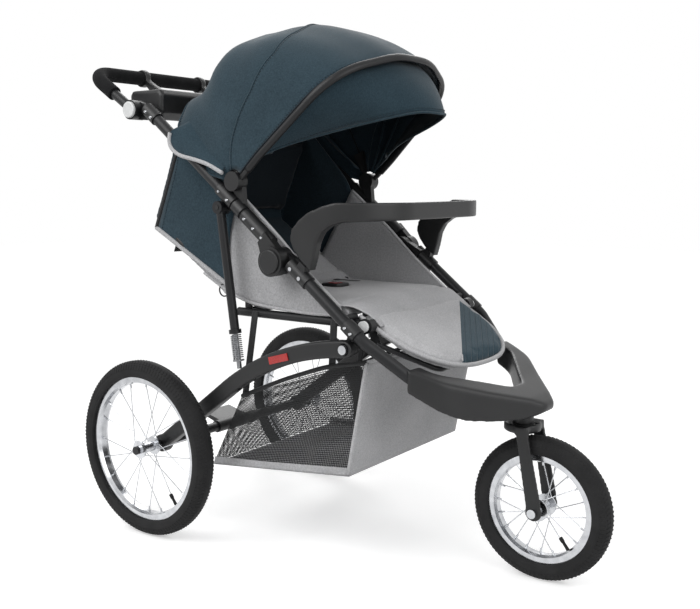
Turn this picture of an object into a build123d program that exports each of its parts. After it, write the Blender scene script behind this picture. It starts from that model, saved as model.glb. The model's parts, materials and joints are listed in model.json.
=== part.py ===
from build123d import *
import math
import os

# A three-wheel baby stroller.
# Millimetres; built with the origin on the floor below the rear axle, X forward,
# Y to the stroller's left, Z up, and moved to the middle of its length when written.

# Driving sizes
TRACK = 580.0
WHEELBASE = 809.0
REAR_TYRE_R = 195.0
FRONT_TYRE_R = 144.0
TYRE_HALF = 23.0
HANDLE_OVERHANG = 215.0
FRAME_HALF = TRACK / 2 - 55.0
TUBE_R = 12.0
TUBE_WALL = 1.5
LINE_ANGLE = -38.5
STRUT_HALF = FRAME_HALF + 4.0
ARM_DEPTH = 34.0
ARM_Y0 = FRAME_HALF - 9.0
ARM_Y1 = FRAME_HALF + 17.0
SEAT_HALF = FRAME_HALF - 35.0
SEAT_THICK = 31.0
BACK_THICK = 25.0
CANOPY_HALF = FRAME_HALF + 6.0
CANOPY_R_REAR = 325.0
CANOPY_R_SEAM = 331.0
CANOPY_R_FRONT = 376.0
CANOPY_SKIN = 2.5
SPRING_TURNS = 11.0
SPRING_WIRE_R = 1.25
SPRING_R = 10.4
SPOKES = 20
SPOKE_R = 1.0
BASKET_HALF = FRAME_HALF - 23.5
BASKET_SKIN = 2.5
FIT = 0.05
RUN = 0.1

REAR_AXLE_X = -(WHEELBASE + FRONT_TYRE_R - HANDLE_OVERHANG) / 2
REAR_Z = REAR_TYRE_R
FRONT_Z = FRONT_TYRE_R
WHEEL_HALF = TRACK / 2

# The straight line of the main tubes in the side view
LINE_X = 335.0
LINE_Z = 646.0
DX = math.cos(math.radians(LINE_ANGLE))
DZ = math.sin(math.radians(LINE_ANGLE))


def on_line(s, off=0.0):
    """Side view point: s down the main tube line, off to its upper side."""
    return (LINE_X + s * DX - off * DZ, LINE_Z + s * DZ + off * DX)


HUB = on_line(15.0, -20.0)
HANDLE_PIVOT = on_line(-489.0, -22.0)
CANOPY_PIVOT = on_line(-165.0, 38.0)
STRUT_TOP = on_line(-165.0, -30.0)
ARM_PIVOT = on_line(252.0, -34.0)
STRUT_FOOT = (235.0, 390.0)
LEGREST_PIVOT = (528.0, 503.0)
RECLINE_PIVOT = (205.0, 540.0)
SWIVEL_X = 765.0

parts = {}


def side_face(points):
    return make_face(Polyline(*points, close=True))


def slab(points, y0, y1):
    """Side view polygon (X, Z) between two Y values."""
    return extrude(Plane.XZ.offset(-y1) * side_face(points), y1 - y0)


def plan(points, z0, z1):
    """Plan polygon (X, Y) between two Z values."""
    return extrude(Plane.XY.offset(z0) * side_face(points), z1 - z0)


def disc(at, radius, y0, y1):
    """Cylinder across the stroller round a side view point."""
    return extrude(Plane.XZ.offset(-y1) * Pos(at[0], at[1]) * Circle(radius), y1 - y0)


def rod(a, b, radius):
    run = Vector(*b) - Vector(*a)
    return extrude(Plane(a, z_dir=run) * Circle(radius), run.length)


def swept(points, bend, radius, wall=0.0):
    """Round bar or tube along straight runs and bends."""
    path = FilletPolyline(*points, radius=bend)
    section = Circle(radius)
    if wall:
        section = Circle(radius) - Circle(radius - wall)
    return sweep(Plane(path @ 0, z_dir=path % 0) * section, path=path)


def line_rod(s0, s1, radius, y, off=0.0):
    """Cylinder along the main tube line at one Y."""
    a = on_line(s0, off)
    b = on_line(s1, off)
    return rod((a[0], y, a[1]), (b[0], y, b[1]), radius)


def pair(shape):
    """The shape and its mirror image on the other side."""
    return Compound(children=list(shape.solids()) + list(mirror(shape, Plane.XZ).solids()))


def group(*shapes):
    solids = []
    for shape in shapes:
        solids.extend(shape.solids())
    return Compound(children=solids)


def hull(points):
    """Convex outline of side view points."""
    pts = sorted(set(points))
    lower = []
    for p in pts:
        while len(lower) > 1 and turn(lower[-2], lower[-1], p) <= 0:
            lower.pop()
        lower.append(p)
    upper = []
    for p in reversed(pts):
        while len(upper) > 1 and turn(upper[-2], upper[-1], p) <= 0:
            upper.pop()
        upper.append(p)
    return lower[:-1] + upper[:-1]


def turn(a, b, c):
    return (b[0] - a[0]) * (c[1] - a[1]) - (b[1] - a[1]) * (c[0] - a[0])


def inset_points(points, depth):
    """The same open outline moved inward by depth."""
    moved = []
    for i, p in enumerate(points):
        a = points[max(i - 1, 0)]
        c = points[min(i + 1, len(points) - 1)]
        normals = []
        for s, e in ((a, p), (p, c)):
            d = math.hypot(e[0] - s[0], e[1] - s[1])
            if d > 0:
                normals.append(((e[1] - s[1]) / d, -(e[0] - s[0]) / d))
        nx = sum(n[0] for n in normals) / len(normals)
        ny = sum(n[1] for n in normals) / len(normals)
        k = depth / (nx * nx + ny * ny)
        moved.append((p[0] + nx * k, p[1] + ny * k))
    return moved


def rounded(points, radii):
    """Edges of an open outline with a round corner at each inner point."""
    edges = []
    last = Vector(*points[0])
    for i in range(1, len(points) - 1):
        a, p, c = (Vector(*points[i + k]) for k in (-1, 0, 1))
        u = (p - a).normalized()
        v = (c - p).normalized()
        half = math.acos(max(-1.0, min(1.0, u.dot(v)))) / 2
        reach = radii[i - 1] * math.tan(half)
        begin = p - u * reach
        end = p + v * reach
        middle = p + (v - u).normalized() * (radii[i - 1] / math.cos(half) - radii[i - 1])
        edges.append(Line(last, begin))
        edges.append(ThreePointArc(begin, middle, end))
        last = end
    edges.append(Line(last, Vector(*points[-1])))
    return edges


# Frame

BEND = on_line(268.0)
TUBE_TIP = (650.0, 176.0, 388.0)


def make_frame():
    y = FRAME_HALF
    start = on_line(50.0)
    lower = swept([(start[0], y, start[1]), (BEND[0], y, BEND[1]), TUBE_TIP], 60.0, TUBE_R, TUBE_WALL)
    parts["lower_tubes"] = pair(lower)
    a = on_line(-20.0)
    b = on_line(-455.0)
    run = Vector(b[0] - a[0], 0, b[1] - a[1])
    ring = Circle(TUBE_R) - Circle(TUBE_R - TUBE_WALL)
    upper = extrude(Plane((a[0], y, a[1]), z_dir=run) * ring, run.length)
    parts["upper_tubes"] = pair(upper)

    # Fold hub: inner disc below, outer disc above, one pin through both
    neck = slab(hull([on_line(15, 6), on_line(20, -40), on_line(62, -14), on_line(62, 14)]),
        FRAME_HALF - 21.0, FRAME_HALF - 3.5)
    low = disc(HUB, 28.0, FRAME_HALF - 23.0, FRAME_HALF - 3.5) + neck + line_rod(47.0, 104.0, 15.0, y)
    low = low - line_rod(49.0, 110.0, TUBE_R + FIT, y) - disc(HUB, 5.0 + FIT, FRAME_HALF - 35.0,
        FRAME_HALF + 5.0)
    parts["fold_lower_sockets"] = pair(low)
    web = slab(hull([on_line(15, 8), on_line(8, -44), on_line(-36, -14), on_line(-36, 14)]),
        FRAME_HALF - 3.0, FRAME_HALF + 15.0)
    high = disc(HUB, 30.0, FRAME_HALF - 3.0, FRAME_HALF + 21.0) + web + line_rod(-16.0, -104.0, 15.0, y)
    high = high - line_rod(-19.0, -110.0, TUBE_R + FIT, y) - disc(HUB, 5.0 + RUN, FRAME_HALF - 4.0,
        FRAME_HALF + 19.0)
    parts["fold_upper_sockets"] = pair(high)
    parts["fold_pins"] = pair(disc(HUB, 5.0, FRAME_HALF - 25.0, FRAME_HALF + 18.5) + disc(HUB, 8.0,
        FRAME_HALF - 27.0, FRAME_HALF - 23.0 - FIT))
    cap = disc(HUB, 24.0, FRAME_HALF + 21.0 + FIT, FRAME_HALF + 26.0)
    cap = fillet(cap.edges().filter_by(GeomType.CIRCLE).sort_by(Axis.Y)[-1], 3.0)
    parts["hub_caps"] = pair(cap)

    # Arm brackets under the lower tubes, with the pivot pin
    at = ARM_PIVOT
    cheek = slab(hull([on_line(226, 0), on_line(252, 0), on_line(237, -40), on_line(262, -46)]),
        FRAME_HALF - 16.0, FRAME_HALF - 9.3)
    clamp = line_rod(220.0, 254.0, 15.0, y) + cheek + disc(at, 15.0, FRAME_HALF - 16.7, FRAME_HALF - 9.3)
    clamp = clamp + disc(at, 6.0, FRAME_HALF - 13.0, ARM_Y1)
    parts["arm_brackets"] = pair(clamp - line_rod(210.0, 260.0, TUBE_R + FIT, y))
    bush = disc(at, 10.0, ARM_Y0, ARM_Y1) - disc(at, 6.0 + RUN, FRAME_HALF - 15.0, FRAME_HALF + 25.0)
    parts["pivot_bushes"] = pair(bush)


def make_rivets():
    heads = [disc(ARM_PIVOT, 9.0, ARM_Y1 + 0.2, ARM_Y1 + 4.0)]
    for s in (60.0, 88.0):
        at = on_line(s)
        heads.append(disc(at, 4.0, FRAME_HALF + 15.05, FRAME_HALF + 17.0))
    parts["frame_rivets"] = pair(group(*heads))


# Suspension arms, axle, brake, struts

ARM_MID = (352.0, 428.0)
ARM_LOW = (195.0, 340.0)


def make_rear():
    axle = (0.0, REAR_Z)
    curve = ThreePointArc(ARM_PIVOT, ARM_MID, ARM_LOW)
    half = ARM_DEPTH / 2
    samples = [curve @ (i / 8) for i in range(9)]
    across = [curve % (i / 8) for i in range(9)]
    top = [(p.X + t.Y * half, p.Y - t.X * half) for p, t in zip(samples, across)]
    low = [(p.X - t.Y * half, p.Y + t.X * half) for p, t in zip(samples, across)]
    run = Vector(axle[0] - ARM_LOW[0], axle[1] - ARM_LOW[1]).normalized()
    tail_top = (axle[0] + run.Y * 15.0, axle[1] - run.X * 15.0)
    tail_low = (axle[0] - run.Y * 15.0, axle[1] + run.X * 15.0)
    edges = [ThreePointArc(top[0], top[4], top[8]), ThreePointArc(low[0], low[4], low[8])]
    edges += [Line(top[8], tail_top), Line(tail_top, tail_low), Line(tail_low, low[8]), Line(low[0], top[0])]
    face = make_face(edges)
    arm = extrude(Plane.XZ.offset(-ARM_Y1) * face, ARM_Y1 - ARM_Y0)
    arm = arm + disc(ARM_PIVOT, half, ARM_Y0, ARM_Y1) + disc(axle, 20.0, ARM_Y0, ARM_Y1)
    slot = Pos(STRUT_FOOT[0], STRUT_HALF, STRUT_FOOT[1]) * Rot(0, -29, 0) * Box(46.0, 15.0, 80.0)
    arm = arm - disc(ARM_PIVOT, 10.0 + RUN, FRAME_HALF - 15.0, FRAME_HALF + 25.0) - disc(axle, 6.0 + FIT,
        FRAME_HALF - 15.0, FRAME_HALF + 25.0) - slot
    parts["suspension_arms"] = pair(arm)
    tube = disc(axle, 11.0, -ARM_Y0 + 0.3, ARM_Y0 - 0.3) - disc(axle, 9.0, -FRAME_HALF + 35.0,
        FRAME_HALF - 35.0)
    stub = disc(axle, 6.0, FRAME_HALF - 30.0, WHEEL_HALF + 27.0) + disc(axle, 9.0, WHEEL_HALF + 27.0,
        WHEEL_HALF + 33.0)
    parts["rear_axle"] = tube + stub + mirror(stub, Plane.XZ)
    plate = Pos(352.0, ARM_Y1 + 1.3, 428.0) * Rot(0, -16, 0) * Box(50.0, 2.4, 15.0)
    parts["side_reflectors"] = pair(plate)

    # Brake pedal bar turning on the axle tube
    sleeve = disc(axle, 14.5, -70.0, 70.0)
    pedal = slab([(-12.0, REAR_Z + 9), (-68.0, REAR_Z + 22), (-70.0, REAR_Z + 15), (-12.0, REAR_Z - 4)],
        -45.0, 45.0)
    parts["brake_pedal"] = sleeve + pedal - disc(axle, 11.0 + RUN, -80.0, 80.0)


def strut_point(t, y=STRUT_HALF):
    """Point t down the strut from its top pivot."""
    run = math.hypot(STRUT_FOOT[0] - STRUT_TOP[0], STRUT_FOOT[1] - STRUT_TOP[1])
    ux = (STRUT_FOOT[0] - STRUT_TOP[0]) / run
    uz = (STRUT_FOOT[1] - STRUT_TOP[1]) / run
    return (STRUT_TOP[0] + ux * t, y, STRUT_TOP[1] + uz * t)


SPRING_TOP = 263.0
SPRING_END = 317.0


def make_struts():
    y = STRUT_HALF
    eye = disc(STRUT_TOP, 13.0, FRAME_HALF - 6.0, FRAME_HALF + 14.0)
    body = rod(strut_point(6.0), strut_point(SPRING_TOP - 6.0), 9.5) + eye
    body = body + rod(strut_point(SPRING_TOP - 9.0), strut_point(SPRING_TOP - 0.3), 13.0)
    body = body - rod(strut_point(140.0), strut_point(SPRING_TOP + 5.0), 5.0 + RUN)
    body = body - disc(STRUT_TOP, 5.0 + RUN, FRAME_HALF - 15.0, FRAME_HALF + 25.0)
    parts["strut_tubes"] = pair(body)
    bar = rod(strut_point(170.0), strut_point(336.0), 5.0)
    bar = bar + rod(strut_point(SPRING_END + 0.3), strut_point(SPRING_END + 3.3), 12.0)
    parts["strut_rods"] = pair(bar)

    # One unbroken coil per strut
    length = SPRING_END - SPRING_TOP - 2 * SPRING_WIRE_R
    pitch = length / SPRING_TURNS
    helix = Helix(pitch, length, SPRING_R)
    section = Plane(helix @ 0, z_dir=helix % 0) * Circle(SPRING_WIRE_R)
    coil = sweep(section, path=helix)
    top = strut_point(SPRING_TOP + SPRING_WIRE_R)
    foot = strut_point(SPRING_END - SPRING_WIRE_R)
    seat = Plane(foot, z_dir=Vector(*top) - Vector(*foot))
    parts["strut_springs"] = pair(seat * coil)
    print("spring self gap mm", round(pitch * math.cos(math.atan2(pitch,
        2 * math.pi * SPRING_R)) - 2 * SPRING_WIRE_R, 2))

    # Brackets that carry the strut pins on the upper tubes
    clamp = line_rod(-190.0, -140.0, 15.0, FRAME_HALF)
    cheek = slab(hull([on_line(-186, 0), on_line(-144, 0), on_line(-154, -40), on_line(-176, -40)]),
        FRAME_HALF - 14.5, FRAME_HALF - 6.5)
    pin = disc(STRUT_TOP, 5.0, FRAME_HALF - 13.0, FRAME_HALF + 15.0)
    bracket = clamp + cheek + pin - line_rod(-200.0, -130.0, TUBE_R + FIT, FRAME_HALF)
    parts["strut_brackets"] = pair(bracket)


# Wheels

def make_wheel(name, centre, tyre_r, flange_r, axle_r, spokes):
    """Tyre, rim and hub with spokes, turned about the Y axis through centre."""
    x, y, z = centre
    bead = tyre_r - 47.0
    edge = tyre_r - 35.0
    at = Pos(x, y, z)

    def ring(points):
        return at * revolve(Plane.XY * side_face(points), Axis.Y)

    mid = tyre_r - TYRE_HALF
    bore = TYRE_HALF - 4.0
    lip_r = mid - TYRE_HALF / 2
    outline = []
    for i in range(17):
        a = math.radians(-30.0 + 15.0 * i)
        outline.append((mid + TYRE_HALF * math.sin(a), TYRE_HALF * math.cos(a)))
    outline += [(lip_r, -11.7), (bead + 2.5, -11.7), (bead + 2.5, -7.7), (lip_r + 4.0, -7.7)]
    for i in range(15):
        a = math.radians(200.0 - 220.0 * i / 14)
        outline.append((mid + bore * math.sin(a), bore * math.cos(a)))
    outline += [(lip_r + 4.0, 7.7), (bead + 2.5, 7.7), (bead + 2.5, 11.7), (lip_r, 11.7)]
    parts[name + "_tyre"] = ring(outline)

    channel = [
        (edge, 14.0), (edge, 12.0), (bead + 1.5, 12.0), (bead - 1.0, 6.0), (bead - 1.0, -6.0),
        (bead + 1.5, -12.0), (edge, -12.0), (edge, -14.0), (bead, -14.0), (bead - 3.5, -7.0),
        (bead - 3.5, 7.0), (bead, 14.0),
    ]
    parts[name + "_rim"] = ring(channel)

    barrel = [
        (axle_r + RUN, 26.0), (9.5, 26.0), (9.5, 22.0), (flange_r, 22.0), (flange_r, 19.0),
        (11.0, 17.0), (11.0, -17.0), (flange_r, -19.0), (flange_r, -22.0), (9.5, -22.0),
        (9.5, -26.0), (axle_r + RUN, -26.0),
    ]
    wheel = ring(barrel)
    tip = bead - 4.2
    for i in range(spokes):
        a = 2 * math.pi * i / spokes
        lean = math.radians(38.0) * (1 if (i // 2) % 2 else -1)
        level = 20.5 if i % 2 else -20.5
        root = flange_r - 3.0
        start = Vector(root * math.cos(a + lean), level, root * math.sin(a + lean))
        end = Vector(tip * math.cos(a), level * 0.12, tip * math.sin(a))
        wheel = wheel + at * rod(tuple(start), tuple(end), SPOKE_R)
    parts[name + "_spokes"] = wheel


def make_wheels():
    make_wheel("left_rear", (0.0, WHEEL_HALF, REAR_Z), REAR_TYRE_R, 20.0, 6.0, SPOKES)
    make_wheel("right_rear", (0.0, -WHEEL_HALF, REAR_Z), REAR_TYRE_R, 20.0, 6.0, SPOKES)
    make_wheel("front", (WHEELBASE, 0.0, FRONT_Z), FRONT_TYRE_R, 22.0, 5.0, SPOKES)


# Front fork, swivel and bumper

CROWN_LOW = 293.0
CROWN_TOP = 310.0
HOUSING_TOP = 354.0


def make_front():
    axle = (WHEELBASE, FRONT_Z)
    leg = hull([
        (SWIVEL_X + 2, CROWN_TOP - 4), (SWIVEL_X + 26, CROWN_TOP - 4), (WHEELBASE - 15, FRONT_Z + 14),
        (WHEELBASE + 14, FRONT_Z + 18), (WHEELBASE - 12, FRONT_Z - 12), (WHEELBASE + 12, FRONT_Z - 12),
    ])
    one = slab(leg, 33.0, 42.0)
    one = one + disc(axle, 17.0, 33.0, 42.0)
    crown = plan([
        (SWIVEL_X - 34, 16), (SWIVEL_X - 34, -16), (SWIVEL_X + 4, -42), (SWIVEL_X + 28, -42),
        (SWIVEL_X + 28, 42), (SWIVEL_X + 4, 42),
    ], CROWN_LOW, CROWN_TOP)
    crown = crown + Pos(SWIVEL_X, 0, (CROWN_LOW + CROWN_TOP) / 2) * Cylinder(36.0, CROWN_TOP - CROWN_LOW)
    stem = Pos(SWIVEL_X, 0, (CROWN_TOP + HOUSING_TOP) / 2 - 4) * Cylinder(10.0, HOUSING_TOP - CROWN_TOP - 6)
    fork = one + mirror(one, Plane.XZ) + crown + stem
    fork = fork - disc(axle, 5.0 + FIT, -60.0, 60.0)
    for dx in (-28.0, 28.0):
        fork = fork - Pos(SWIVEL_X + dx, 0, CROWN_TOP) * Cylinder(3.3, 18.0)
    parts["front_fork"] = fork
    spindle = disc(axle, 5.0, -46.0, 46.0)
    nut = disc(axle, 9.0, 42.0 + FIT, 49.0)
    parts["front_axle"] = spindle + nut + mirror(nut, Plane.XZ)

    housing = Pos(SWIVEL_X, 0, (CROWN_TOP + HOUSING_TOP) / 2 + 0.2) * Cylinder(21.0,
        HOUSING_TOP - CROWN_TOP - 0.4)
    lug = Pos(SWIVEL_X - 28.0, 0, 334.0) * Box(20.0, 18.0, 12.0)
    housing = housing + lug
    housing = housing - Pos(SWIVEL_X, 0, CROWN_TOP + 10) * Cylinder(10.0 + RUN,
        2 * (HOUSING_TOP - CROWN_TOP - 14))
    housing = housing - Pos(SWIVEL_X - 28.0, 0, 334.0) * Cylinder(3.0 + RUN, 30.0)
    parts["swivel_housing"] = housing
    pin = Pos(SWIVEL_X - 28.0, 0, 328.0) * Cylinder(3.0, 34.0)
    knob = Pos(SWIVEL_X - 28.0, 0, 324.0) * Cylinder(5.5, 5.0)
    parts["swivel_lock"] = pin + knob


BUMPER_OUT = [(622, 208), (690, 181), (822, 20)]
BUMPER_IN = [(622, 160), (656, 158), (748, 22)]


def mirrored(points):
    return points + [(x, -y) for x, y in reversed(points)]


def bumper_face(inset):
    outer = inset_points(mirrored(BUMPER_OUT), inset)
    inner = inset_points(mirrored(BUMPER_IN), -inset)
    shift = inset
    outer = [(outer[0][0] + shift, outer[0][1])] + outer[1:-1] + [(outer[-1][0] + shift, outer[-1][1])]
    inner = [(inner[0][0] + shift, inner[0][1])] + inner[1:-1] + [(inner[-1][0] + shift, inner[-1][1])]
    edges = rounded(outer, [70.0, 22.0, 22.0, 70.0])
    edges += rounded(inner, [40.0, 22.0, 22.0, 40.0])
    edges += [Line(outer[0], inner[0]), Line(outer[-1], inner[-1])]
    return make_face(edges)


BUMPER_SIDE = [
    (600, 438), (652, 422), (700, 404), (745, 386), (800, 368), (822, 356), (824, 344),
    (812, 334), (790, 326), (760, 325), (717, 331), (681, 351), (640, 374), (600, 398),
]
BUMPER_WALL = 8.0


def make_bumper():
    form = extrude(Plane.XY.offset(300.0) * bumper_face(0.0), 150.0) & slab(BUMPER_SIDE, -FRAME_HALF + 15.0,
        FRAME_HALF - 15.0)
    core = extrude(Plane.XY.offset(300.0) * bumper_face(BUMPER_WALL), 150.0)
    core = core & slab([(x, z - BUMPER_WALL) for x, z in BUMPER_SIDE], -FRAME_HALF + 15.0, FRAME_HALF - 15.0)
    boss = Pos(SWIVEL_X, 0, 375.0) * Cylinder(30.0, 150.0)
    form = form - (core - boss)
    tip = Vector(*TUBE_TIP)
    run = (tip - Vector(BEND[0], FRAME_HALF, BEND[1])).normalized()
    bore = rod(tuple(tip - run * 60.0), tuple(tip + run * 1.0), TUBE_R + FIT)
    form = form - bore - mirror(bore, Plane.XZ)
    form = form - Pos(SWIVEL_X, 0, 320.0) * Cylinder(21.0 + FIT, 2 * (HOUSING_TOP + 0.1 - 320.0))
    form = form - Pos(SWIVEL_X - 32.0, 0, 320.0) * Box(34.0, 20.0, 62.0)
    parts["front_bumper"] = form


# Seat, basket, legrest and child tray

RAIL_Y = FRAME_HALF - 39.0
RAIL_Z = 505.0
RAIL_R = 9.0
SEAT_BACK_X = 205.0
SEAT_FRONT_X = 488.0
SEAT_LOW = RAIL_Z + RAIL_R + 0.2
SEAT_TOP = SEAT_LOW + SEAT_THICK
BUCKLE_X = 305.0
BUCKLE_LOW = SEAT_TOP - 2.7
BUCKLE_THICK = 13.0
LEGREST_SLOPE = 28.0


def soft_slab(profile, half, crown, low, high):
    """Cushion: side profile with soft edges, crowned across its width."""
    body = slab(profile, -half, half)
    rise = crown
    section = make_face([
        Line((-half, low - 50), (half, low - 50)),
        Line((half, low - 50), (half, high - rise)),
        ThreePointArc((half, high - rise), (0.0, high), (-half, high - rise)),
        Line((-half, high - rise), (-half, low - 50)),
    ])
    return body & extrude(Plane.YZ.offset(-400.0) * section, 1600.0)


def make_seat():
    rail = rod((196.0, RAIL_Y, RAIL_Z), (LEGREST_PIVOT[0] - 12.0, RAIL_Y, RAIL_Z), RAIL_R)
    eye = disc(LEGREST_PIVOT, 15.0, FRAME_HALF - 51.0, FRAME_HALF - 32.0)
    frame = rail + eye
    frame = frame + mirror(frame, Plane.XZ)
    frame = frame + rod((476.0, -RAIL_Y, RAIL_Z), (476.0, RAIL_Y, RAIL_Z), 7.0)
    frame = frame + rod((205.0, -RAIL_Y, RAIL_Z), (205.0, RAIL_Y, RAIL_Z), 7.0)
    stub = disc(on_line(205.0), 7.0, FRAME_HALF - 45.0, FRAME_HALF - TUBE_R - 0.2)
    frame = frame + stub + mirror(stub, Plane.XZ)
    hole = disc(LEGREST_PIVOT, 5.0 + RUN, FRAME_HALF - 55.0, FRAME_HALF - 42.5) + disc(LEGREST_PIVOT,
        4.0 + RUN, FRAME_HALF - 40.0, FRAME_HALF - 29.0)
    frame = frame - hole - mirror(hole, Plane.XZ)
    parts["seat_rails"] = frame

    profile = [
        (SEAT_BACK_X + 12, SEAT_LOW), (SEAT_FRONT_X - 6, SEAT_LOW), (SEAT_FRONT_X, SEAT_LOW + 6),
        (SEAT_FRONT_X - 3, SEAT_TOP - 16), (465.0, SEAT_TOP), (SEAT_BACK_X + 26, SEAT_TOP + 4),
        (SEAT_BACK_X + 16, SEAT_TOP - 2),
    ]
    pad = soft_slab(profile, SEAT_HALF, 9.0, SEAT_LOW, SEAT_TOP + 4)
    for x in (270.0, 335.0, 400.0):
        pad = pad - rod((x, -SEAT_HALF - 5, SEAT_TOP + 7), (x, SEAT_HALF + 5, SEAT_TOP + 7), 5.0)
    slot = Pos(BUCKLE_X, 0.0, SEAT_TOP - 6) * Box(30.0, 44.0, 22.0)
    hollow = Pos(BUCKLE_X, 0.0, BUCKLE_LOW + 14.0) * Box(48.0, 50.0, 30.0)
    pad = pad - slot - hollow
    parts["seat_pad"] = pad
    wall = slab([
        (SEAT_BACK_X + 14, SEAT_LOW + 0.5), (SEAT_FRONT_X - 10, SEAT_LOW + 0.5), (SEAT_FRONT_X - 24, 552.0),
        (360.0, 590.0), (300.0, 640.0), (262.0, 655.0),
    ], SEAT_HALF + 0.3, SEAT_HALF + 4.3)
    parts["seat_sides"] = pair(wall)

    # Harness buckle lying in a hollow of the seat, on its strap in the slot
    strap_low = SEAT_TOP - 16.8
    strap_high = BUCKLE_LOW + 3.0
    strap = Pos(BUCKLE_X, 0.0, (strap_low + strap_high) / 2) * Box(5.0, 36.0, strap_high - strap_low)
    body = Pos(BUCKLE_X, 0.0, BUCKLE_LOW + BUCKLE_THICK / 2) * Box(44.0, 46.0, BUCKLE_THICK)
    body = fillet(body.edges(), 3.0)
    buckle = strap + body
    high = BUCKLE_LOW + BUCKLE_THICK
    buckle = buckle - Pos(BUCKLE_X, 0.0, high - 2.0) * Box(22.4, 22.4, 12.0)
    parts["harness_buckle"] = buckle
    knob = Pos(BUCKLE_X, 0.0, high - 2.5) * Box(22.0, 22.0, 6.0)
    parts["buckle_button"] = knob


def make_basket():
    y = BASKET_HALF
    skin = BASKET_SKIN
    wall = slab([(128, 164.5), (492.6, 204.9), (537.5, 434), (440, 416), (214, 326)], y - skin, y)
    front_tab = slab([(440, 414), (466, 420), (462, RAIL_Z + 4), (448, RAIL_Z + 4)], y - skin, y)
    rear_tab = slab([(216, 326), (230, 332), (255, RAIL_Z + 4), (246, RAIL_Z + 4)], y - skin, y)
    side = wall + front_tab + rear_tab
    for x in (250.0, 455.0):
        side = side + disc((x, RAIL_Z - 2), 4.0, RAIL_Y + RAIL_R + 0.3, y - 1.0)
    rear = slab([(128, 164.5), (214, 326), (211.5, 327.5), (125.5, 166)], -y, y)
    parts["basket_mesh"] = side + mirror(side, Plane.XZ) + rear
    floor = slab([(125, 161), (495, 202), (494.5, 204.6), (124.5, 163.6)], -y, y)
    front = slab([(495, 202), (541, 437), (538.4, 437.4), (492.4, 202.4)], -y, y)
    parts["basket_base"] = floor + front


def make_legrest():
    slope = math.radians(LEGREST_SLOPE)
    ux, uz = math.cos(slope), -math.sin(slope)
    nx, nz = math.sin(slope), math.cos(slope)
    x0, z0 = 465.0, 549.0

    def at(u, v):
        return (x0 + ux * u + nx * v, z0 + uz * u + nz * v)

    far = 250.0
    profile = [
        at(46, -28), at(46, -8), at(54, 0), at(far - 8, 0), at(far, -7),
        at(far, -20), at(far - 8, -27), at(60, -30),
    ]
    half = FRAME_HALF - 54.0
    pad = slab(profile, -half, half)
    shape = [
        (480, half), (560, half), (605, half - 11), (640, half - 35), (668, half - 71),
        (686, 66), (693, 30), (695, 0),
    ]
    edge = Spline(*(shape + [(x, -y) for x, y in reversed(shape[:-1])]))
    cut = make_face([edge, Line((480, half), (480, -half))])
    pad = pad & extrude(Plane.XY.offset(380.0) * cut, 220.0)
    for u in (110.0, 155.0, 200.0):
        g = at(u, 3.0)
        pad = pad - rod((g[0], -200.0, g[1]), (g[0], 200.0, g[1]), 5.0)
    pad = pad - disc(LEGREST_PIVOT, 5.0 + FIT, -FRAME_HALF + 35.0, FRAME_HALF - 35.0)
    parts["legrest_pad"] = pad
    a = at(105, -37.0)
    b = at(215, -36.0)
    rods = swept([(a[0], half + 1.5, a[1]), (b[0], 112.0, b[1]), (b[0], -112.0, b[1]), (a[0], -half - 1.5,
        a[1])], 30.0, 5.5)
    plate = slab(hull([at(66, -10), at(84, -6), at(94, -36), at(112, -32), at(108, -44), at(98, -44)]),
        FRAME_HALF - 53.7, FRAME_HALF - 51.3)
    frame = rods + disc(LEGREST_PIVOT, 5.0, -FRAME_HALF + 43.0, FRAME_HALF - 43.0) + plate + mirror(plate,
        Plane.XZ)
    parts["legrest_frame"] = frame
    button = disc(LEGREST_PIVOT, 11.0, FRAME_HALF - 28.5, FRAME_HALF - 23.0) + disc(LEGREST_PIVOT, 4.0,
        FRAME_HALF - 36.0, FRAME_HALF - 27.0)
    parts["left_legrest_button"] = button
    parts["right_legrest_button"] = mirror(button, Plane.XZ)


TRAY_TOP = 738.0
TRAY_FRONT = 578.0
TRAY_BACK = 470.0
CUP_X = 514.0
CUP_Y = 120.0
TRAY_HALF = FRAME_HALF + 5.0


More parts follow.
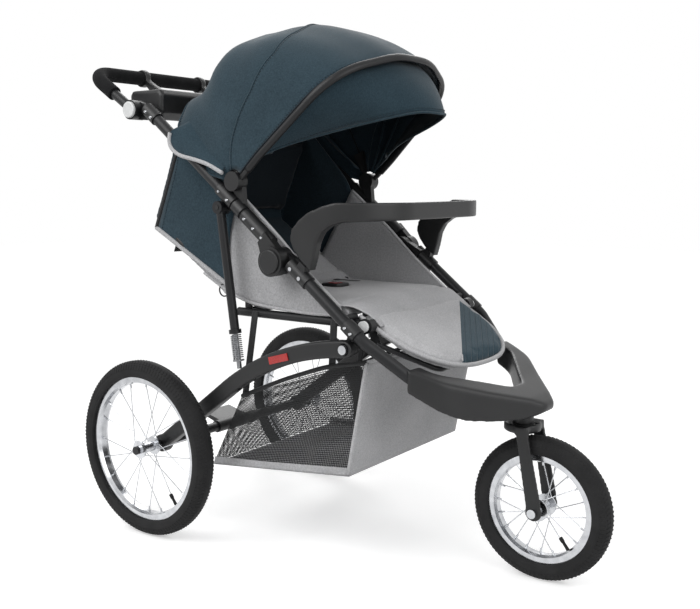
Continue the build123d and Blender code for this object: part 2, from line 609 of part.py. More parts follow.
def make_tray():
    foot = slab(hull([on_line(65, 0), on_line(92, 0), on_line(65, 24), on_line(82, 24)]), FRAME_HALF - 9.0,
        FRAME_HALF + 9.0)
    post = slab([on_line(66, 20), on_line(78, 20), on_line(78, 44), on_line(66, 44)], FRAME_HALF - 6.0,
        FRAME_HALF + 6.0)
    mount = foot + post - line_rod(40.0, 110.0, 15.0 + FIT, FRAME_HALF)
    parts["tray_mounts"] = pair(mount)

    front = TRAY_FRONT
    back = TRAY_BACK
    side = TRAY_HALF + 8
    lip = TRAY_HALF - 6
    outer = FilletPolyline((340, side), (front, lip), (front, -lip), (340, -side), radius=135.0)
    face = make_face([outer, Line((340, side), (340, -side))])
    block = extrude(Plane.XY.offset(600.0) * face, 200.0)
    profile = [
        on_line(64, 25), (385, 646), (377, 665), (381, 685), (396, 703), (419, 719), (447, 730),
        (476, TRAY_TOP), (front + 5, TRAY_TOP), (front + 5, 704), (492, 701), (470, 694),
        (452, 682), (440, 662), (433, 634), on_line(94, 25),
    ]
    body = block & slab(profile, -300.0, 300.0)
    w = TRAY_HALF - 18.0
    well = FilletPolyline((330, w), (front - 12, w - 7), (front - 12, -w + 7), (330, -w), radius=122.0)
    well_face = make_face([well, Line((330, w), (330, -w))])
    body = body - extrude(Plane.XY.offset(TRAY_TOP - 12.0) * well_face, 60.0)
    open_face = Plane.XY.offset(590.0) * side_face([(330, w), (back, w), (back, -w), (330, -w)])
    body = body - extrude(open_face, 220.0)
    ledge = back + 4
    under = FilletPolyline(
        (330, w - 4), (front - 10, w - 10), (front - 10, -w + 10), (330, -w + 4), radius=112.0)
    under_face = make_face([under, Line((330, w - 4), (330, -w + 4))])
    hollow = extrude(Plane.XY.offset(690.0) * under_face, TRAY_TOP - 17.0 - 690.0)
    body = body - (hollow & Pos(ledge + 100.0, 0.0, 700.0) * Box(200.0, 600.0, 200.0))
    clear = Plane.XY.offset(600.0) * side_face([(330, w - 4), (500, w - 4), (500, -w + 4), (330, -w + 4)])
    body = body - extrude(clear, TRAY_TOP - 34.0 - 600.0)
    cup = Pos(CUP_X, CUP_Y, TRAY_TOP - 17.0) * Cylinder(42.0, 24.0)
    body = body + cup - Pos(CUP_X, CUP_Y, TRAY_TOP - 10.0) * Cylinder(38.0, 32.0)
    pocket = slab([
        on_line(66 - RUN, 22), on_line(78 + RUN, 22), on_line(78 + RUN, 45), on_line(66 - RUN, 45),
    ], FRAME_HALF - 6.0 - RUN, FRAME_HALF + 6.0 + RUN)
    body = body - pocket - mirror(pocket, Plane.XZ)
    parts["child_tray"] = body


# Canopy

BOW_FRONT = 42.5
BOW_SEAM = 87.0
BOW_REAR = 132.0
VISOR_TIP = 21.0


def bow_points(top_r, half):
    """Corner points (r, y) of one canopy bow in its own plane."""
    pts = [(24.0, half), (80.0, half), (0.832 * top_r, half - 25.0), (top_r, 60.0)]
    return pts + [(r, -y) for r, y in reversed(pts)]


BOW_RADII = [120.0, 150.0, 190.0, 190.0, 150.0, 120.0]


def bow_plane(phi, ahead=0.0):
    a = math.radians(phi)
    base = Plane(
        origin=(CANOPY_PIVOT[0], 0, CANOPY_PIVOT[1]),
        x_dir=(math.cos(a), 0, math.sin(a)),
        z_dir=(math.sin(a), 0, -math.cos(a)),
    )
    return base.offset(ahead)


def band(top_r, half, depth, skin):
    """Thin face between a bow outline moved in by depth and by depth plus skin."""
    corners = bow_points(top_r, half)
    out = inset_points(corners, depth) if depth else corners
    inn = inset_points(corners, depth + skin)
    edges = rounded(out, [r - depth for r in BOW_RADII])
    edges += rounded(inn, [r - depth - skin for r in BOW_RADII])
    edges += [Line(out[0], inn[0]), Line(out[-1], inn[-1])]
    return make_face(edges)


def turned(face, phi0, phi1):
    """Face in the bow plane turned about the canopy hinge from phi0 to phi1."""
    axis = Axis((CANOPY_PIVOT[0], 0, CANOPY_PIVOT[1]), (0, -1, 0))
    return revolve(bow_plane(phi0) * face, axis, phi1 - phi0)


def make_canopy():
    rear_half = CANOPY_HALF
    front_half = CANOPY_HALF + 3.0
    rear = turned(band(CANOPY_R_REAR, rear_half, 0.0, CANOPY_SKIN), BOW_SEAM, BOW_REAR)
    parts["canopy_rear_panel"] = rear

    faces = []
    steps = 4
    for i in range(steps + 1):
        k = i / steps
        phi = BOW_FRONT + (BOW_SEAM - BOW_FRONT) * k
        top_r = CANOPY_R_FRONT + (CANOPY_R_SEAM - CANOPY_R_FRONT) * (k ** 1.1)
        faces.append(bow_plane(phi) * band(top_r, front_half, 0.0, CANOPY_SKIN))
    parts["canopy_front_panel"] = loft(faces)

    corners = inset_points(bow_points(CANOPY_R_FRONT, front_half), 6.0)
    corners[0] = (10.0, corners[0][1])
    corners[-1] = (10.0, corners[-1][1])
    path = bow_plane(BOW_FRONT, 6.3) * Wire(rounded(corners, [r - 6.0 for r in BOW_RADII]))
    bow = sweep(Plane(path @ 0, z_dir=path % 0) * Circle(6.0), path=path)
    knuckle = disc(CANOPY_PIVOT, 20.0, FRAME_HALF + 1.3, FRAME_HALF + 15.0)
    bow = bow + knuckle + mirror(knuckle, Plane.XZ)
    hole = disc(CANOPY_PIVOT, 5.0 + RUN, FRAME_HALF - 5.0, FRAME_HALF + 11.0)
    hole = hole + disc(CANOPY_PIVOT, 20.4, FRAME_HALF - 15.0, FRAME_HALF + 1.2)
    parts["canopy_front_bow"] = bow - hole - mirror(hole, Plane.XZ)

    shade = turned(band(CANOPY_R_FRONT, front_half, 12.3, 2.0), VISOR_TIP - 2.0, BOW_FRONT - 0.4)
    keep = [(300, 832), (575, 906), (640, 923.5), (640, 1150), (290, 1150)]
    parts["canopy_visor"] = shade & slab(keep, -300.0, 300.0)

    at = CANOPY_PIVOT
    clamp = line_rod(-136.0, -110.0, 15.0, FRAME_HALF)
    web = slab(hull([on_line(-136, 4), on_line(-112, 4), on_line(-150, 44), on_line(-176, 30), on_line(-176,
        52)]), FRAME_HALF - 12.5, FRAME_HALF + 1.0)
    mount = clamp + web + disc(at, 20.0, FRAME_HALF - 12.5, FRAME_HALF + 1.0) + disc(at, 5.0,
        FRAME_HALF - 5.0, FRAME_HALF + 10.0)

    def spoke(r, phi):
        a = math.radians(phi)
        return (at[0] + r * math.cos(a), at[1] + r * math.sin(a))

    ear = slab([spoke(8, 100), spoke(74, 100), spoke(74, 122), spoke(8, 122)], FRAME_HALF - 7.0,
        FRAME_HALF + 1.0)
    ear = ear + slab([spoke(26, 100), spoke(74, 100), spoke(74, 122), spoke(26, 122)], FRAME_HALF - 5.0,
        FRAME_HALF + 3.3)
    mount = mount + ear - line_rod(-220.0, -90.0, TUBE_R + FIT, FRAME_HALF)
    mount = mount - line_rod(-191.0, -139.0, 15.0 + FIT, FRAME_HALF)
    parts["canopy_mounts"] = pair(mount)


# Handle and parent tray

BAR = (-HANDLE_OVERHANG + 16.0, 1022.0)
BAR_R = 11.0
ARM_OUT = FRAME_HALF + 12.0


def make_handle():
    p = HANDLE_PIVOT
    run = Vector(BAR[0] - p[0], BAR[1] - p[1]).normalized()
    start = (p[0] + run.X * 15.0, p[1] + run.Y * 15.0)
    corner = [
        (start[0], ARM_OUT, start[1]), (BAR[0], ARM_OUT, BAR[1]),
        (BAR[0], -ARM_OUT, BAR[1]), (start[0], -ARM_OUT, start[1]),
    ]
    bar = swept(corner, 52.0, BAR_R)
    knuckle = disc(p, 21.0, FRAME_HALF + 3.5, FRAME_HALF + 21.0)
    bar = bar + knuckle + mirror(knuckle, Plane.XZ)
    hole = disc(p, 17.6, FRAME_HALF + 13.0, FRAME_HALF + 25.0) + disc(p, 6.0 + RUN, FRAME_HALF - 5.0,
        FRAME_HALF + 12.0)
    hole = hole + disc(p, 21.4, FRAME_HALF - 15.0, FRAME_HALF + 3.3)
    parts["handlebar"] = bar - hole - mirror(hole, Plane.XZ)
    mid = (p[0] + run.X * 70.0, p[1] + run.Y * 70.0)
    foam = [
        (mid[0], ARM_OUT, mid[1]), (BAR[0], ARM_OUT, BAR[1]),
        (BAR[0], -ARM_OUT, BAR[1]), (mid[0], -ARM_OUT, mid[1]),
    ]
    path = FilletPolyline(*foam, radius=52.0)
    ring = Circle(16.0) - Circle(BAR_R + FIT)
    parts["handle_grip"] = sweep(Plane(path @ 0, z_dir=path % 0) * ring, path=path)

    button = disc(p, 17.5, FRAME_HALF + 17.5, FRAME_HALF + 27.0)
    button = fillet(button.edges().filter_by(GeomType.CIRCLE).sort_by(Axis.Y)[-1], 2.5)
    parts["left_handle_button"] = button
    parts["right_handle_button"] = mirror(button, Plane.XZ)

    sleeve = line_rod(-425.0, -464.0, 15.0, FRAME_HALF)
    web = slab(hull([on_line(-440, -13), on_line(-440, 13), on_line(-490, 0), on_line(-494, -40),
        on_line(-480, -40)]), FRAME_HALF - 13.0, FRAME_HALF + 3.0)
    house = sleeve + web + disc(p, 21.0, FRAME_HALF - 13.0, FRAME_HALF + 3.0) + disc(p, 6.0,
        FRAME_HALF - 5.0, FRAME_HALF + 11.5)
    house = house - line_rod(-420.0, -456.0, TUBE_R + FIT, FRAME_HALF)
    parts["handle_housings"] = pair(house)

    # Parent tray hung on the bar by two hooks
    profile = [(-118, 938), (-104, 920), (-38, 914), (-16, 930), (-14, 968), (-24, 980), (-112, 980), (-120,
        970)]
    tray = slab(profile, -FRAME_HALF + 30.0, FRAME_HALF - 30.0)
    tray = fillet(tray.edges().filter_by(GeomType.LINE).group_by(Axis.Y)[0], 8.0)
    tray = fillet(tray.edges().filter_by(GeomType.LINE).group_by(Axis.Y)[-1], 8.0)
    for y in (-135.0, 135.0):
        tray = tray - Pos(-66.0, y, 985.0) * Cylinder(38.0, 116.0)
    tray = tray - Pos(-66.0, 0.0, 985.0) * Box(76.0, 150.0, 90.0)
    hook = slab(hull([(-112, 978), (-119, 950), (-190, 1008), (-183, 1020)]), 84.0, 100.0)
    hook = hook + disc(BAR, 20.5, 84.0, 100.0)
    hook = hook - disc(BAR, 16.0 + FIT, 80.0, 104.0)
    parts["parent_tray"] = tray + hook + mirror(hook, Plane.XZ)


# Backrest

def make_back():
    a = (203.0, 545.0)
    b = (-30.0, 690.0)
    c = (58.0, 893.0)
    back_len = math.hypot(b[0] - a[0], b[1] - a[1])
    head_len = math.hypot(c[0] - b[0], c[1] - b[1])
    ux, uz = (b[0] - a[0]) / back_len, (b[1] - a[1]) / back_len
    wx, wz = (c[0] - b[0]) / head_len, (c[1] - b[1]) / head_len

    def on_back(u, v):
        return (a[0] + ux * u + uz * v, a[1] + uz * u - ux * v)

    def on_head(u, v):
        return (b[0] + wx * u + wz * v, b[1] + wz * u - wx * v)

    t = BACK_THICK
    half = SEAT_HALF - 5.0
    board = slab([
        on_back(8, 0), on_back(back_len - 6, 0), on_head(10, 0), on_head(head_len - 8, 0), on_head(head_len,
            -8),
        on_head(head_len - 6, -t), on_head(4, -t), on_back(back_len + 2, -t), on_back(20, -t), on_back(6,
            -14),
    ], -half, half)
    for u in (70.0, 130.0, 190.0):
        g = on_back(u, 3.0)
        board = board - rod((g[0], -half - 5, g[1]), (g[0], half + 5, g[1]), 5.0)
    hinge = disc(RECLINE_PIVOT, 5.0, -half, half)
    for y in (-FRAME_HALF + 60.0, FRAME_HALF - 60.0):
        gap = disc(RECLINE_PIVOT, 14.0, y - 3.6, y + 3.6) - disc(RECLINE_PIVOT, 5.0, y - 5, y + 5)
        board = board - gap
    web = slab([on_back(20, -4), on_back(20, -16), (RECLINE_PIVOT[0] - 2, RECLINE_PIVOT[1] - 3),
        RECLINE_PIVOT], -160.0, 160.0)
    parts["backrest_panel"] = board + hinge + web

    pad = slab([
        on_head(14, 0.3), on_head(head_len - 12, 0.3), on_head(head_len - 14, 12), on_head(head_len - 26, 20),
        on_head(34, 20), on_head(20, 12),
    ], -FRAME_HALF + 55.0, FRAME_HALF - 55.0)
    parts["head_bolster"] = fillet(pad.edges().filter_by(Axis.Y), 3.0)

    wall = slab([
        (198.0, 570.0), (232.0, 650.0), (246.0, 716.0), (170.0, 806.0), (92.0,
            906.0), on_head(head_len - 10, -4),
        on_head(20, -t + 4), on_back(back_len - 4, -t + 4), on_back(40, -t + 4),
    ], half + 0.3, half + 4.8)
    parts["back_sides"] = pair(wall)

    strap = slab([on_back(60, 0.3), on_back(250, 0.3), on_back(250, 3.3), on_back(60, 3.3)], 48.0, 84.0)
    cover = slab([on_back(110, 3.2), on_back(230, 3.2), on_back(226, 11), on_back(114, 11)], 42.0, 90.0)
    parts["shoulder_straps"] = pair(strap + cover)


def make_ears():
    """Recline hinge ears standing on the seat rails."""
    x, z = RECLINE_PIVOT
    ear = slab([(x - 8, RAIL_Z), (x + 8, RAIL_Z), (x + 8, z), (x - 8, z)], FRAME_HALF - 63.0,
        FRAME_HALF - 57.0) + disc(RECLINE_PIVOT, 9.0, FRAME_HALF - 63.0, FRAME_HALF - 57.0)
    rails = parts["seat_rails"]
    rails = rails + ear + mirror(ear, Plane.XZ)
    rails = rails - disc(RECLINE_PIVOT, 5.0 + RUN, -FRAME_HALF + 45.0, FRAME_HALF - 45.0)
    parts["seat_rails"] = rails


def write_parts():
    os.makedirs("parts", exist_ok=True)
    for name, shape in parts.items():
        placed = Pos(REAR_AXLE_X, 0, 0) * shape
        placed.label = name
        export_step(placed, "parts/" + name + ".step")


if __name__ == "__main__":
    make_frame()
    make_rivets()
    make_rear()
    make_struts()
    make_wheels()
    make_front()
    make_bumper()
    make_seat()
    make_basket()
    make_legrest()
    make_tray()
    make_canopy()
    make_handle()
    make_back()
    make_ears()
    write_parts()
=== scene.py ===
# %% [markdown]
# # A three-wheel baby stroller
# The rigid model of the stroller is already there: tubes, wheels, hinges and a plain solid for each
# soft part, all in one frame. This lesson dresses it. Each step makes one finish or one piece, and
# then says which body of the frame that piece moves with.

# %% Load the frame
import json
import math

import bmesh
import bpy
import numpy as np
from mathutils import Matrix, Vector


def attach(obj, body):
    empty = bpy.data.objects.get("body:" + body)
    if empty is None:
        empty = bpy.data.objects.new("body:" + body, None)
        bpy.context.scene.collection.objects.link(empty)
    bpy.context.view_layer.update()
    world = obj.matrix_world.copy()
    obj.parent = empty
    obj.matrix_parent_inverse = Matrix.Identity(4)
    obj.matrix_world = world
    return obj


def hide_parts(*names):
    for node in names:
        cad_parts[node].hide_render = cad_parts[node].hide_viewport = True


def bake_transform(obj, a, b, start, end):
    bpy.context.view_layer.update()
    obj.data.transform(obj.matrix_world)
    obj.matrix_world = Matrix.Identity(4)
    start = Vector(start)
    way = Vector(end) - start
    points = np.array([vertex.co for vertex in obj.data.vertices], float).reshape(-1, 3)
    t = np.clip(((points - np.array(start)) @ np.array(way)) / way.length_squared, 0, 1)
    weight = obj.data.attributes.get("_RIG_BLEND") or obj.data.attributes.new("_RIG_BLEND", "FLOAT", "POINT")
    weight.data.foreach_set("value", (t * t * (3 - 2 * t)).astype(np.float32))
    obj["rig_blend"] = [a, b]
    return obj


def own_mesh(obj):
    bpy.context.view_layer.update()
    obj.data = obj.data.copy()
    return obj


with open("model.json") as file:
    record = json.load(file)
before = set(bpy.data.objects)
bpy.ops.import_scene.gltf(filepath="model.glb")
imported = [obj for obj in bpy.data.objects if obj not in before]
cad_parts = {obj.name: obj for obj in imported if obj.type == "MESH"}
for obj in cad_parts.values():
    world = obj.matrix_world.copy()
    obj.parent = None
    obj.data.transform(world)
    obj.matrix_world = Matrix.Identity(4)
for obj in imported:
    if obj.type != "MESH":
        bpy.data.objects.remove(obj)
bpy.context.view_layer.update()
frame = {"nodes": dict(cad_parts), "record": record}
nodes = frame["nodes"]
record = frame["record"]

# %% [markdown]
# The side view of a stroller is easiest to read in millimetres from the floor below the rear axle.
# Blender works in metres about the middle of the model, so one small function turns the first into
# the second, and every place below is written in the first.

# %% Places
AXLE_X = -369.0
MM = 0.001


def at(x, y, z):
    """Millimetres from the floor below the rear axle, as a point of the frame."""
    return Vector(((x + AXLE_X) * MM, y * MM, z * MM))


LINE_ANGLE = math.radians(-38.5)
LINE_X, LINE_Z = 335.0, 646.0


def on_tube(s, off=0.0):
    """Side view point s down the main tube and off above it."""
    dx, dz = math.cos(LINE_ANGLE), math.sin(LINE_ANGLE)
    return LINE_X + s * dx - off * dz, LINE_Z + s * dz + off * dx


print("fold hinge at", [round(v, 1) for v in on_tube(15.0, -20.0)])

# %% [markdown]
# The camera was solved from the round wheels in the photograph: a short telephoto view from the
# front right, a little above the child. Three large soft lamps and a grey sky light the object at a
# plain level. Rays that come straight from the camera see a white sky, and the floor adds a little
# white of its own, so the background is clean but the soft shadow stays.

# %% Camera, light and floor
scene = bpy.context.scene
scene.view_settings.view_transform = "Standard"
CAMERA_AT = Vector((1.1632, -1.6383, 0.7757))
AZIMUTH, PITCH = math.radians(35.93), math.radians(7.49)
LENS_MM = 47.65

camera = bpy.data.objects.new("camera", bpy.data.cameras.new("camera"))
scene.collection.objects.link(camera)
back = Vector((math.sin(AZIMUTH) * math.cos(PITCH), -math.cos(AZIMUTH) * math.cos(PITCH), math.sin(PITCH)))
camera.location = CAMERA_AT
camera.rotation_euler = (-back).to_track_quat("-Z", "Y").to_euler()
camera.data.lens = LENS_MM
scene.camera = camera

LAMPS = [
    ("key", (-0.9, -2.4, 2.6), 2.2, 62.0),
    ("fill", (2.6, -0.6, 1.7), 2.4, 34.0),
    ("rim", (-1.6, 2.2, 2.3), 2.0, 40.0),
]
for name, place, size, watts in LAMPS:
    lamp = bpy.data.objects.new(name, bpy.data.lights.new(name, "AREA"))
    scene.collection.objects.link(lamp)
    lamp.location = place
    lamp.rotation_euler = (Vector((0, 0, 0.5)) - Vector(place)).to_track_quat("-Z", "Y").to_euler()
    lamp.data.size = size
    lamp.data.energy = watts


def light_path(tree):
    """1 where the background is looked at: straight, in a mirror or through a hole."""
    path = tree.nodes.new("ShaderNodeLightPath")
    total = path.outputs["Is Camera Ray"]
    for name in ("Is Glossy Ray", "Is Transmission Ray"):
        join = tree.nodes.new("ShaderNodeMath")
        join.operation = "MAXIMUM"
        tree.links.new(total, join.inputs[0])
        tree.links.new(path.outputs[name], join.inputs[1])
        total = join.outputs[0]
    return total


SKY_LIGHT = 0.45
world = bpy.data.worlds.new("sky")
world.use_nodes = True
scene.world = world
sky = world.node_tree
level = sky.nodes.new("ShaderNodeMapRange")
level.inputs["To Min"].default_value = SKY_LIGHT
level.inputs["To Max"].default_value = 1.0
sky.links.new(light_path(sky), level.inputs["Value"])
sky.links.new(level.outputs[0], sky.nodes["Background"].inputs["Strength"])
sky.nodes["Background"].inputs["Color"].default_value = (1, 1, 1, 1)

FLOOR_HALF = 9.0
floor_mesh = bpy.data.meshes.new("floor")
floor_mesh.from_pydata(
    [(-FLOOR_HALF, -FLOOR_HALF, 0), (FLOOR_HALF, -FLOOR_HALF, 0), (FLOOR_HALF, FLOOR_HALF, 0),
        (-FLOOR_HALF, FLOOR_HALF, 0)],
    [], [(0, 1, 2, 3)])
floor = bpy.data.objects.new("floor", floor_mesh)
scene.collection.objects.link(floor)
pale = bpy.data.materials.new("pale_floor")
pale.use_nodes = True
tree = pale.node_tree
paint = tree.nodes["Principled BSDF"]
paint.inputs["Base Color"].default_value = (0.86, 0.86, 0.86, 1)
paint.inputs["Roughness"].default_value = 0.9
paint.inputs["Specular IOR Level"].default_value = 0.1
paint.inputs["Emission Color"].default_value = (1, 1, 1, 1)
FLOOR_GLOW = 0.40
GLOW_FROM, GLOW_TO = 0.9, 2.4
where = tree.nodes.new("ShaderNodeTexCoord")
far = tree.nodes.new("ShaderNodeVectorMath")
far.operation = "LENGTH"
tree.links.new(where.outputs["Object"], far.inputs[0])
glow = tree.nodes.new("ShaderNodeMapRange")
shade = tree.nodes.new("ShaderNodeMapRange")
for ramp, near_value, far_value in ((glow, FLOOR_GLOW, 1.0), (shade, 0.86, 0.0)):
    ramp.interpolation_type = "SMOOTHSTEP"
    ramp.inputs["From Min"].default_value = GLOW_FROM
    ramp.inputs["From Max"].default_value = GLOW_TO
    ramp.inputs["To Min"].default_value = near_value
    ramp.inputs["To Max"].default_value = far_value
    tree.links.new(far.outputs["Value"], ramp.inputs["Value"])
tree.links.new(shade.outputs[0], paint.inputs["Base Color"])
own = tree.nodes.new("ShaderNodeMath")
own.operation = "MULTIPLY"
tree.links.new(light_path(tree), own.inputs[0])
tree.links.new(glow.outputs[0], own.inputs[1])
tree.links.new(own.outputs[0], paint.inputs["Emission Strength"])
floor_mesh.materials.append(pale)
print("camera looks along", [round(v, 3) for v in -back])

# %% [markdown]
# Every finish is a Principled shader with a few texture nodes on Object coordinates. Two helpers keep
# the cells short: one makes the shader, the other adds a node and fills in its sockets by name. The
# bump of a finish is in real metres, so grain keeps its size on every piece.

# %% Helpers for finishes
finishes = {}


def finish(name, colour, rough, metal=0.0, sheen=0.0, coat=0.0, gleam=0.5):
    """New material with a Principled shader."""
    material = bpy.data.materials.new(name)
    material.use_nodes = True
    shader = material.node_tree.nodes["Principled BSDF"]
    shader.inputs["Base Color"].default_value = (*colour, 1)
    shader.inputs["Roughness"].default_value = rough
    shader.inputs["Metallic"].default_value = metal
    shader.inputs["Sheen Weight"].default_value = sheen
    shader.inputs["Coat Weight"].default_value = coat
    shader.inputs["Specular IOR Level"].default_value = gleam
    finishes[name] = material
    return material


def add(material, kind, **values):
    """New node with its properties and sockets set by name."""
    node = material.node_tree.nodes.new("ShaderNode" + kind)
    for key, value in values.items():
        if key in node.inputs:
            node.inputs[key].default_value = value
        else:
            setattr(node, key, value)
    return node


def wire(material, source, target):
    material.node_tree.links.new(source, target)


def shader_of(material):
    return material.node_tree.nodes["Principled BSDF"]


def grain(material, kind, scale, stretch=(1, 1, 1), turn=(0, 0, 0), coords="Object", **values):
    """Texture node of one kind on stretched coordinates."""
    place = add(material, "TexCoord")
    mapping = add(material, "Mapping", Scale=stretch, Rotation=turn)
    texture = add(material, "Tex" + kind, Scale=scale, **values)
    wire(material, place.outputs[coords], mapping.inputs["Vector"])
    wire(material, mapping.outputs["Vector"], texture.inputs["Vector"])
    return texture


def tint(material, value, stops):
    """Colour of a value, through a ramp of (position, colour) stops, to Base Color."""
    ramp = add(material, "ValToRGB")
    elements = ramp.color_ramp.elements
    while len(elements) < len(stops):
        elements.new(0.5)
    for element, (position, colour) in zip(elements, stops):
        element.position = position
        element.color = (*colour, 1)
    wire(material, value, ramp.inputs["Fac"])
    wire(material, ramp.outputs["Color"], shader_of(material).inputs["Base Color"])
    return ramp


def rough_between(material, value, low, high):
    spread = add(material, "MapRange")
    spread.inputs["To Min"].default_value = low
    spread.inputs["To Max"].default_value = high
    wire(material, value, spread.inputs["Value"])
    wire(material, spread.outputs[0], shader_of(material).inputs["Roughness"])


def bump(material, value, depth, strength=1.0):
    """Raise the surface by value times depth metres."""
    raised = add(material, "Bump", Distance=depth, Strength=strength)
    wire(material, value, raised.inputs["Height"])
    last = shader_of(material).inputs["Normal"]
    if last.is_linked:
        wire(material, last.links[0].from_socket, raised.inputs["Normal"])
    wire(material, raised.outputs["Normal"], last)


def blend_values(material, a, b, share=0.5):
    mix = add(material, "Mix", data_type="FLOAT")
    mix.inputs["Factor"].default_value = share
    wire(material, a, mix.inputs["A"])
    wire(material, b, mix.inputs["B"])
    return mix.outputs["Result"]


# %% [markdown]
# The covers are a heathered polyester: yarns of a dark and a light grey spun together, so that the
# cloth is never one colour. Long noise along and across stands for warp and weft, a fine noise for
# single fibres, and a broad one for the slow change in shade that any cloth has.

# %% Heathered cloth
def heather(name, dark, light, sheen):
    """Melange cloth from its darkest and lightest yarn."""
    middle = [(d + l) / 2 for d, l in zip(dark, light)]
    cloth = finish(name, middle, 0.95, sheen=sheen)
    shader_of(cloth).inputs["Sheen Roughness"].default_value = 0.45
    shader_of(cloth).inputs["Specular IOR Level"].default_value = 0.25
    warp = grain(cloth, "Noise", 1.0, (260, 1100, 260), Detail=2.0)
    weft = grain(cloth, "Noise", 1.0, (1100, 260, 1100), Detail=2.0)
    shade = grain(cloth, "Noise", 9.0, Detail=3.0)
    yarns = blend_values(cloth, warp.outputs["Fac"], weft.outputs["Fac"])
    tone = blend_values(cloth, yarns, shade.outputs["Fac"], 0.22)
    tint(cloth, tone, [(0.36, dark), (0.5, middle), (0.64, light)])
    bump(cloth, yarns, 0.0009, 0.5)
    return cloth


heather("fabric_blue", (0.012, 0.027, 0.038), (0.036, 0.066, 0.086), 0.22)
heather("fabric_grey", (0.30, 0.30, 0.31), (0.52, 0.52, 0.53), 0.15)
heather("fabric_dark", (0.006, 0.010, 0.014), (0.016, 0.023, 0.030), 0.1)
heather("piping_grey", (0.34, 0.34, 0.35), (0.58, 0.58, 0.59), 0.15)
heather("lining", (0.009, 0.018, 0.026), (0.022, 0.040, 0.054), 0.12)
print("cloths", sorted(finishes))

# %% [markdown]
# The frame is powder coated: satin, with the faint orange peel of baked powder. The moulded parts are
# nylon with a spark-eroded grain, and the grip is a foam tube with open cells. Roughness follows the
# same textures, because a worn high spot is always a little smoother.

# %% Frame paint, mouldings and foam
for name, colour in (("frame_black", (0.0095, 0.0098, 0.0108)), ("handle_black", (0.0085, 0.0088, 0.0098))):
    paint = finish(name, colour, 0.4, coat=0.06, gleam=0.25)
    shader_of(paint).inputs["Coat Roughness"].default_value = 0.3
    peel = grain(paint, "Noise", 700.0, Detail=2.0)
    wear = grain(paint, "Noise", 14.0, Detail=5.0)
    tint(paint, wear.outputs["Fac"], [(0.35, colour), (0.75, [1.5 * c for c in colour])])
    rough_between(paint, wear.outputs["Fac"], 0.32, 0.5)
    bump(paint, peel.outputs["Fac"], 0.00012, 0.6)

moulded = finish("plastic_black", (0.0105, 0.0108, 0.0115), 0.45, gleam=0.4)
pits = grain(moulded, "Voronoi", 900.0)
cloud = grain(moulded, "Noise", 11.0, Detail=4.0)
tint(moulded, cloud.outputs["Fac"], [(0.3, (0.0070, 0.0072, 0.0078)), (0.7, (0.0110, 0.0113, 0.0120))])
rough_between(moulded, cloud.outputs["Fac"], 0.34, 0.46)
bump(moulded, pits.outputs["Distance"], 0.00018, 0.5)

foam = finish("grip_foam", (0.011, 0.0112, 0.012), 0.93, gleam=0.15)
cells = grain(foam, "Voronoi", 620.0)
scuff = grain(foam, "Noise", 30.0, Detail=3.0)
tint(foam, scuff.outputs["Fac"], [(0.3, (0.009, 0.0092, 0.0098)), (0.75, (0.017, 0.0172, 0.018))])
bump(foam, cells.outputs["Distance"], 0.0006, 0.7)

# %% [markdown]
# The rims, spokes and nuts are bright plated steel with the fine lines of polishing round the rim. The
# spring is drawn wire, the tyres are dull rubber that greys where it is handled, and the small coloured
# parts are smooth glossy plastic. The reflector has the tiny corner cubes that throw light back.

# %% Metals, rubber and glossy plastic
bright = finish("chrome", (0.72, 0.73, 0.75), 0.16, metal=1.0)
polish = grain(bright, "Noise", 60.0, Detail=4.0)
tint(bright, polish.outputs["Fac"], [(0.3, (0.46, 0.47, 0.49)), (0.7, (0.62, 0.63, 0.65))])
rough_between(bright, polish.outputs["Fac"], 0.10, 0.26)

wire_steel = finish("spring_steel", (0.24, 0.245, 0.255), 0.3, metal=1.0)
drawn = grain(wire_steel, "Noise", 300.0, (1, 1, 0.2), Detail=2.0)
tint(wire_steel, drawn.outputs["Fac"], [(0.3, (0.17, 0.175, 0.185)), (0.7, (0.31, 0.315, 0.325))])
rough_between(wire_steel, drawn.outputs["Fac"], 0.22, 0.4)

rubber = finish("tyre_black", (0.012, 0.012, 0.0125), 0.78, gleam=0.25)
dust = grain(rubber, "Noise", 26.0, Detail=5.0)
tint(rubber, dust.outputs["Fac"], [(0.35, (0.0095, 0.0095, 0.010)), (0.75, (0.022, 0.022, 0.0225))])
rough_between(rubber, dust.outputs["Fac"], 0.66, 0.86)
pores = grain(rubber, "Noise", 900.0)
bump(rubber, pores.outputs["Fac"], 0.00015, 0.5)

GLOSSY = [("button_white", (0.78, 0.79, 0.79), 0.3), ("red_clear", (0.42, 0.012, 0.010), 0.18)]
for name, colour, rough in GLOSSY:
    gloss = finish(name, colour, rough, coat=0.3)
    flow = grain(gloss, "Noise", 40.0, Detail=2.0)
    tint(gloss, flow.outputs["Fac"], [(0.3, [0.88 * c for c in colour]),
        (0.7, [min(1.0, 1.08 * c) for c in colour])])
    rough_between(gloss, flow.outputs["Fac"], rough - 0.06, rough + 0.08)
prisms = grain(finishes["red_clear"], "Voronoi", 420.0, distance="CHEBYCHEV")
bump(finishes["red_clear"], prisms.outputs["Distance"], 0.0007, 0.6)

# %% [markdown]
# The basket sides are an open net. The holes are a lattice on the panel's own UV map, measured in
# metres, and the finish is clear inside each hole, so what lies behind shows through as it does on
# the real net.

# %% Net and webbing
NET_PITCH = 0.0042
NET_OPEN = 0.34

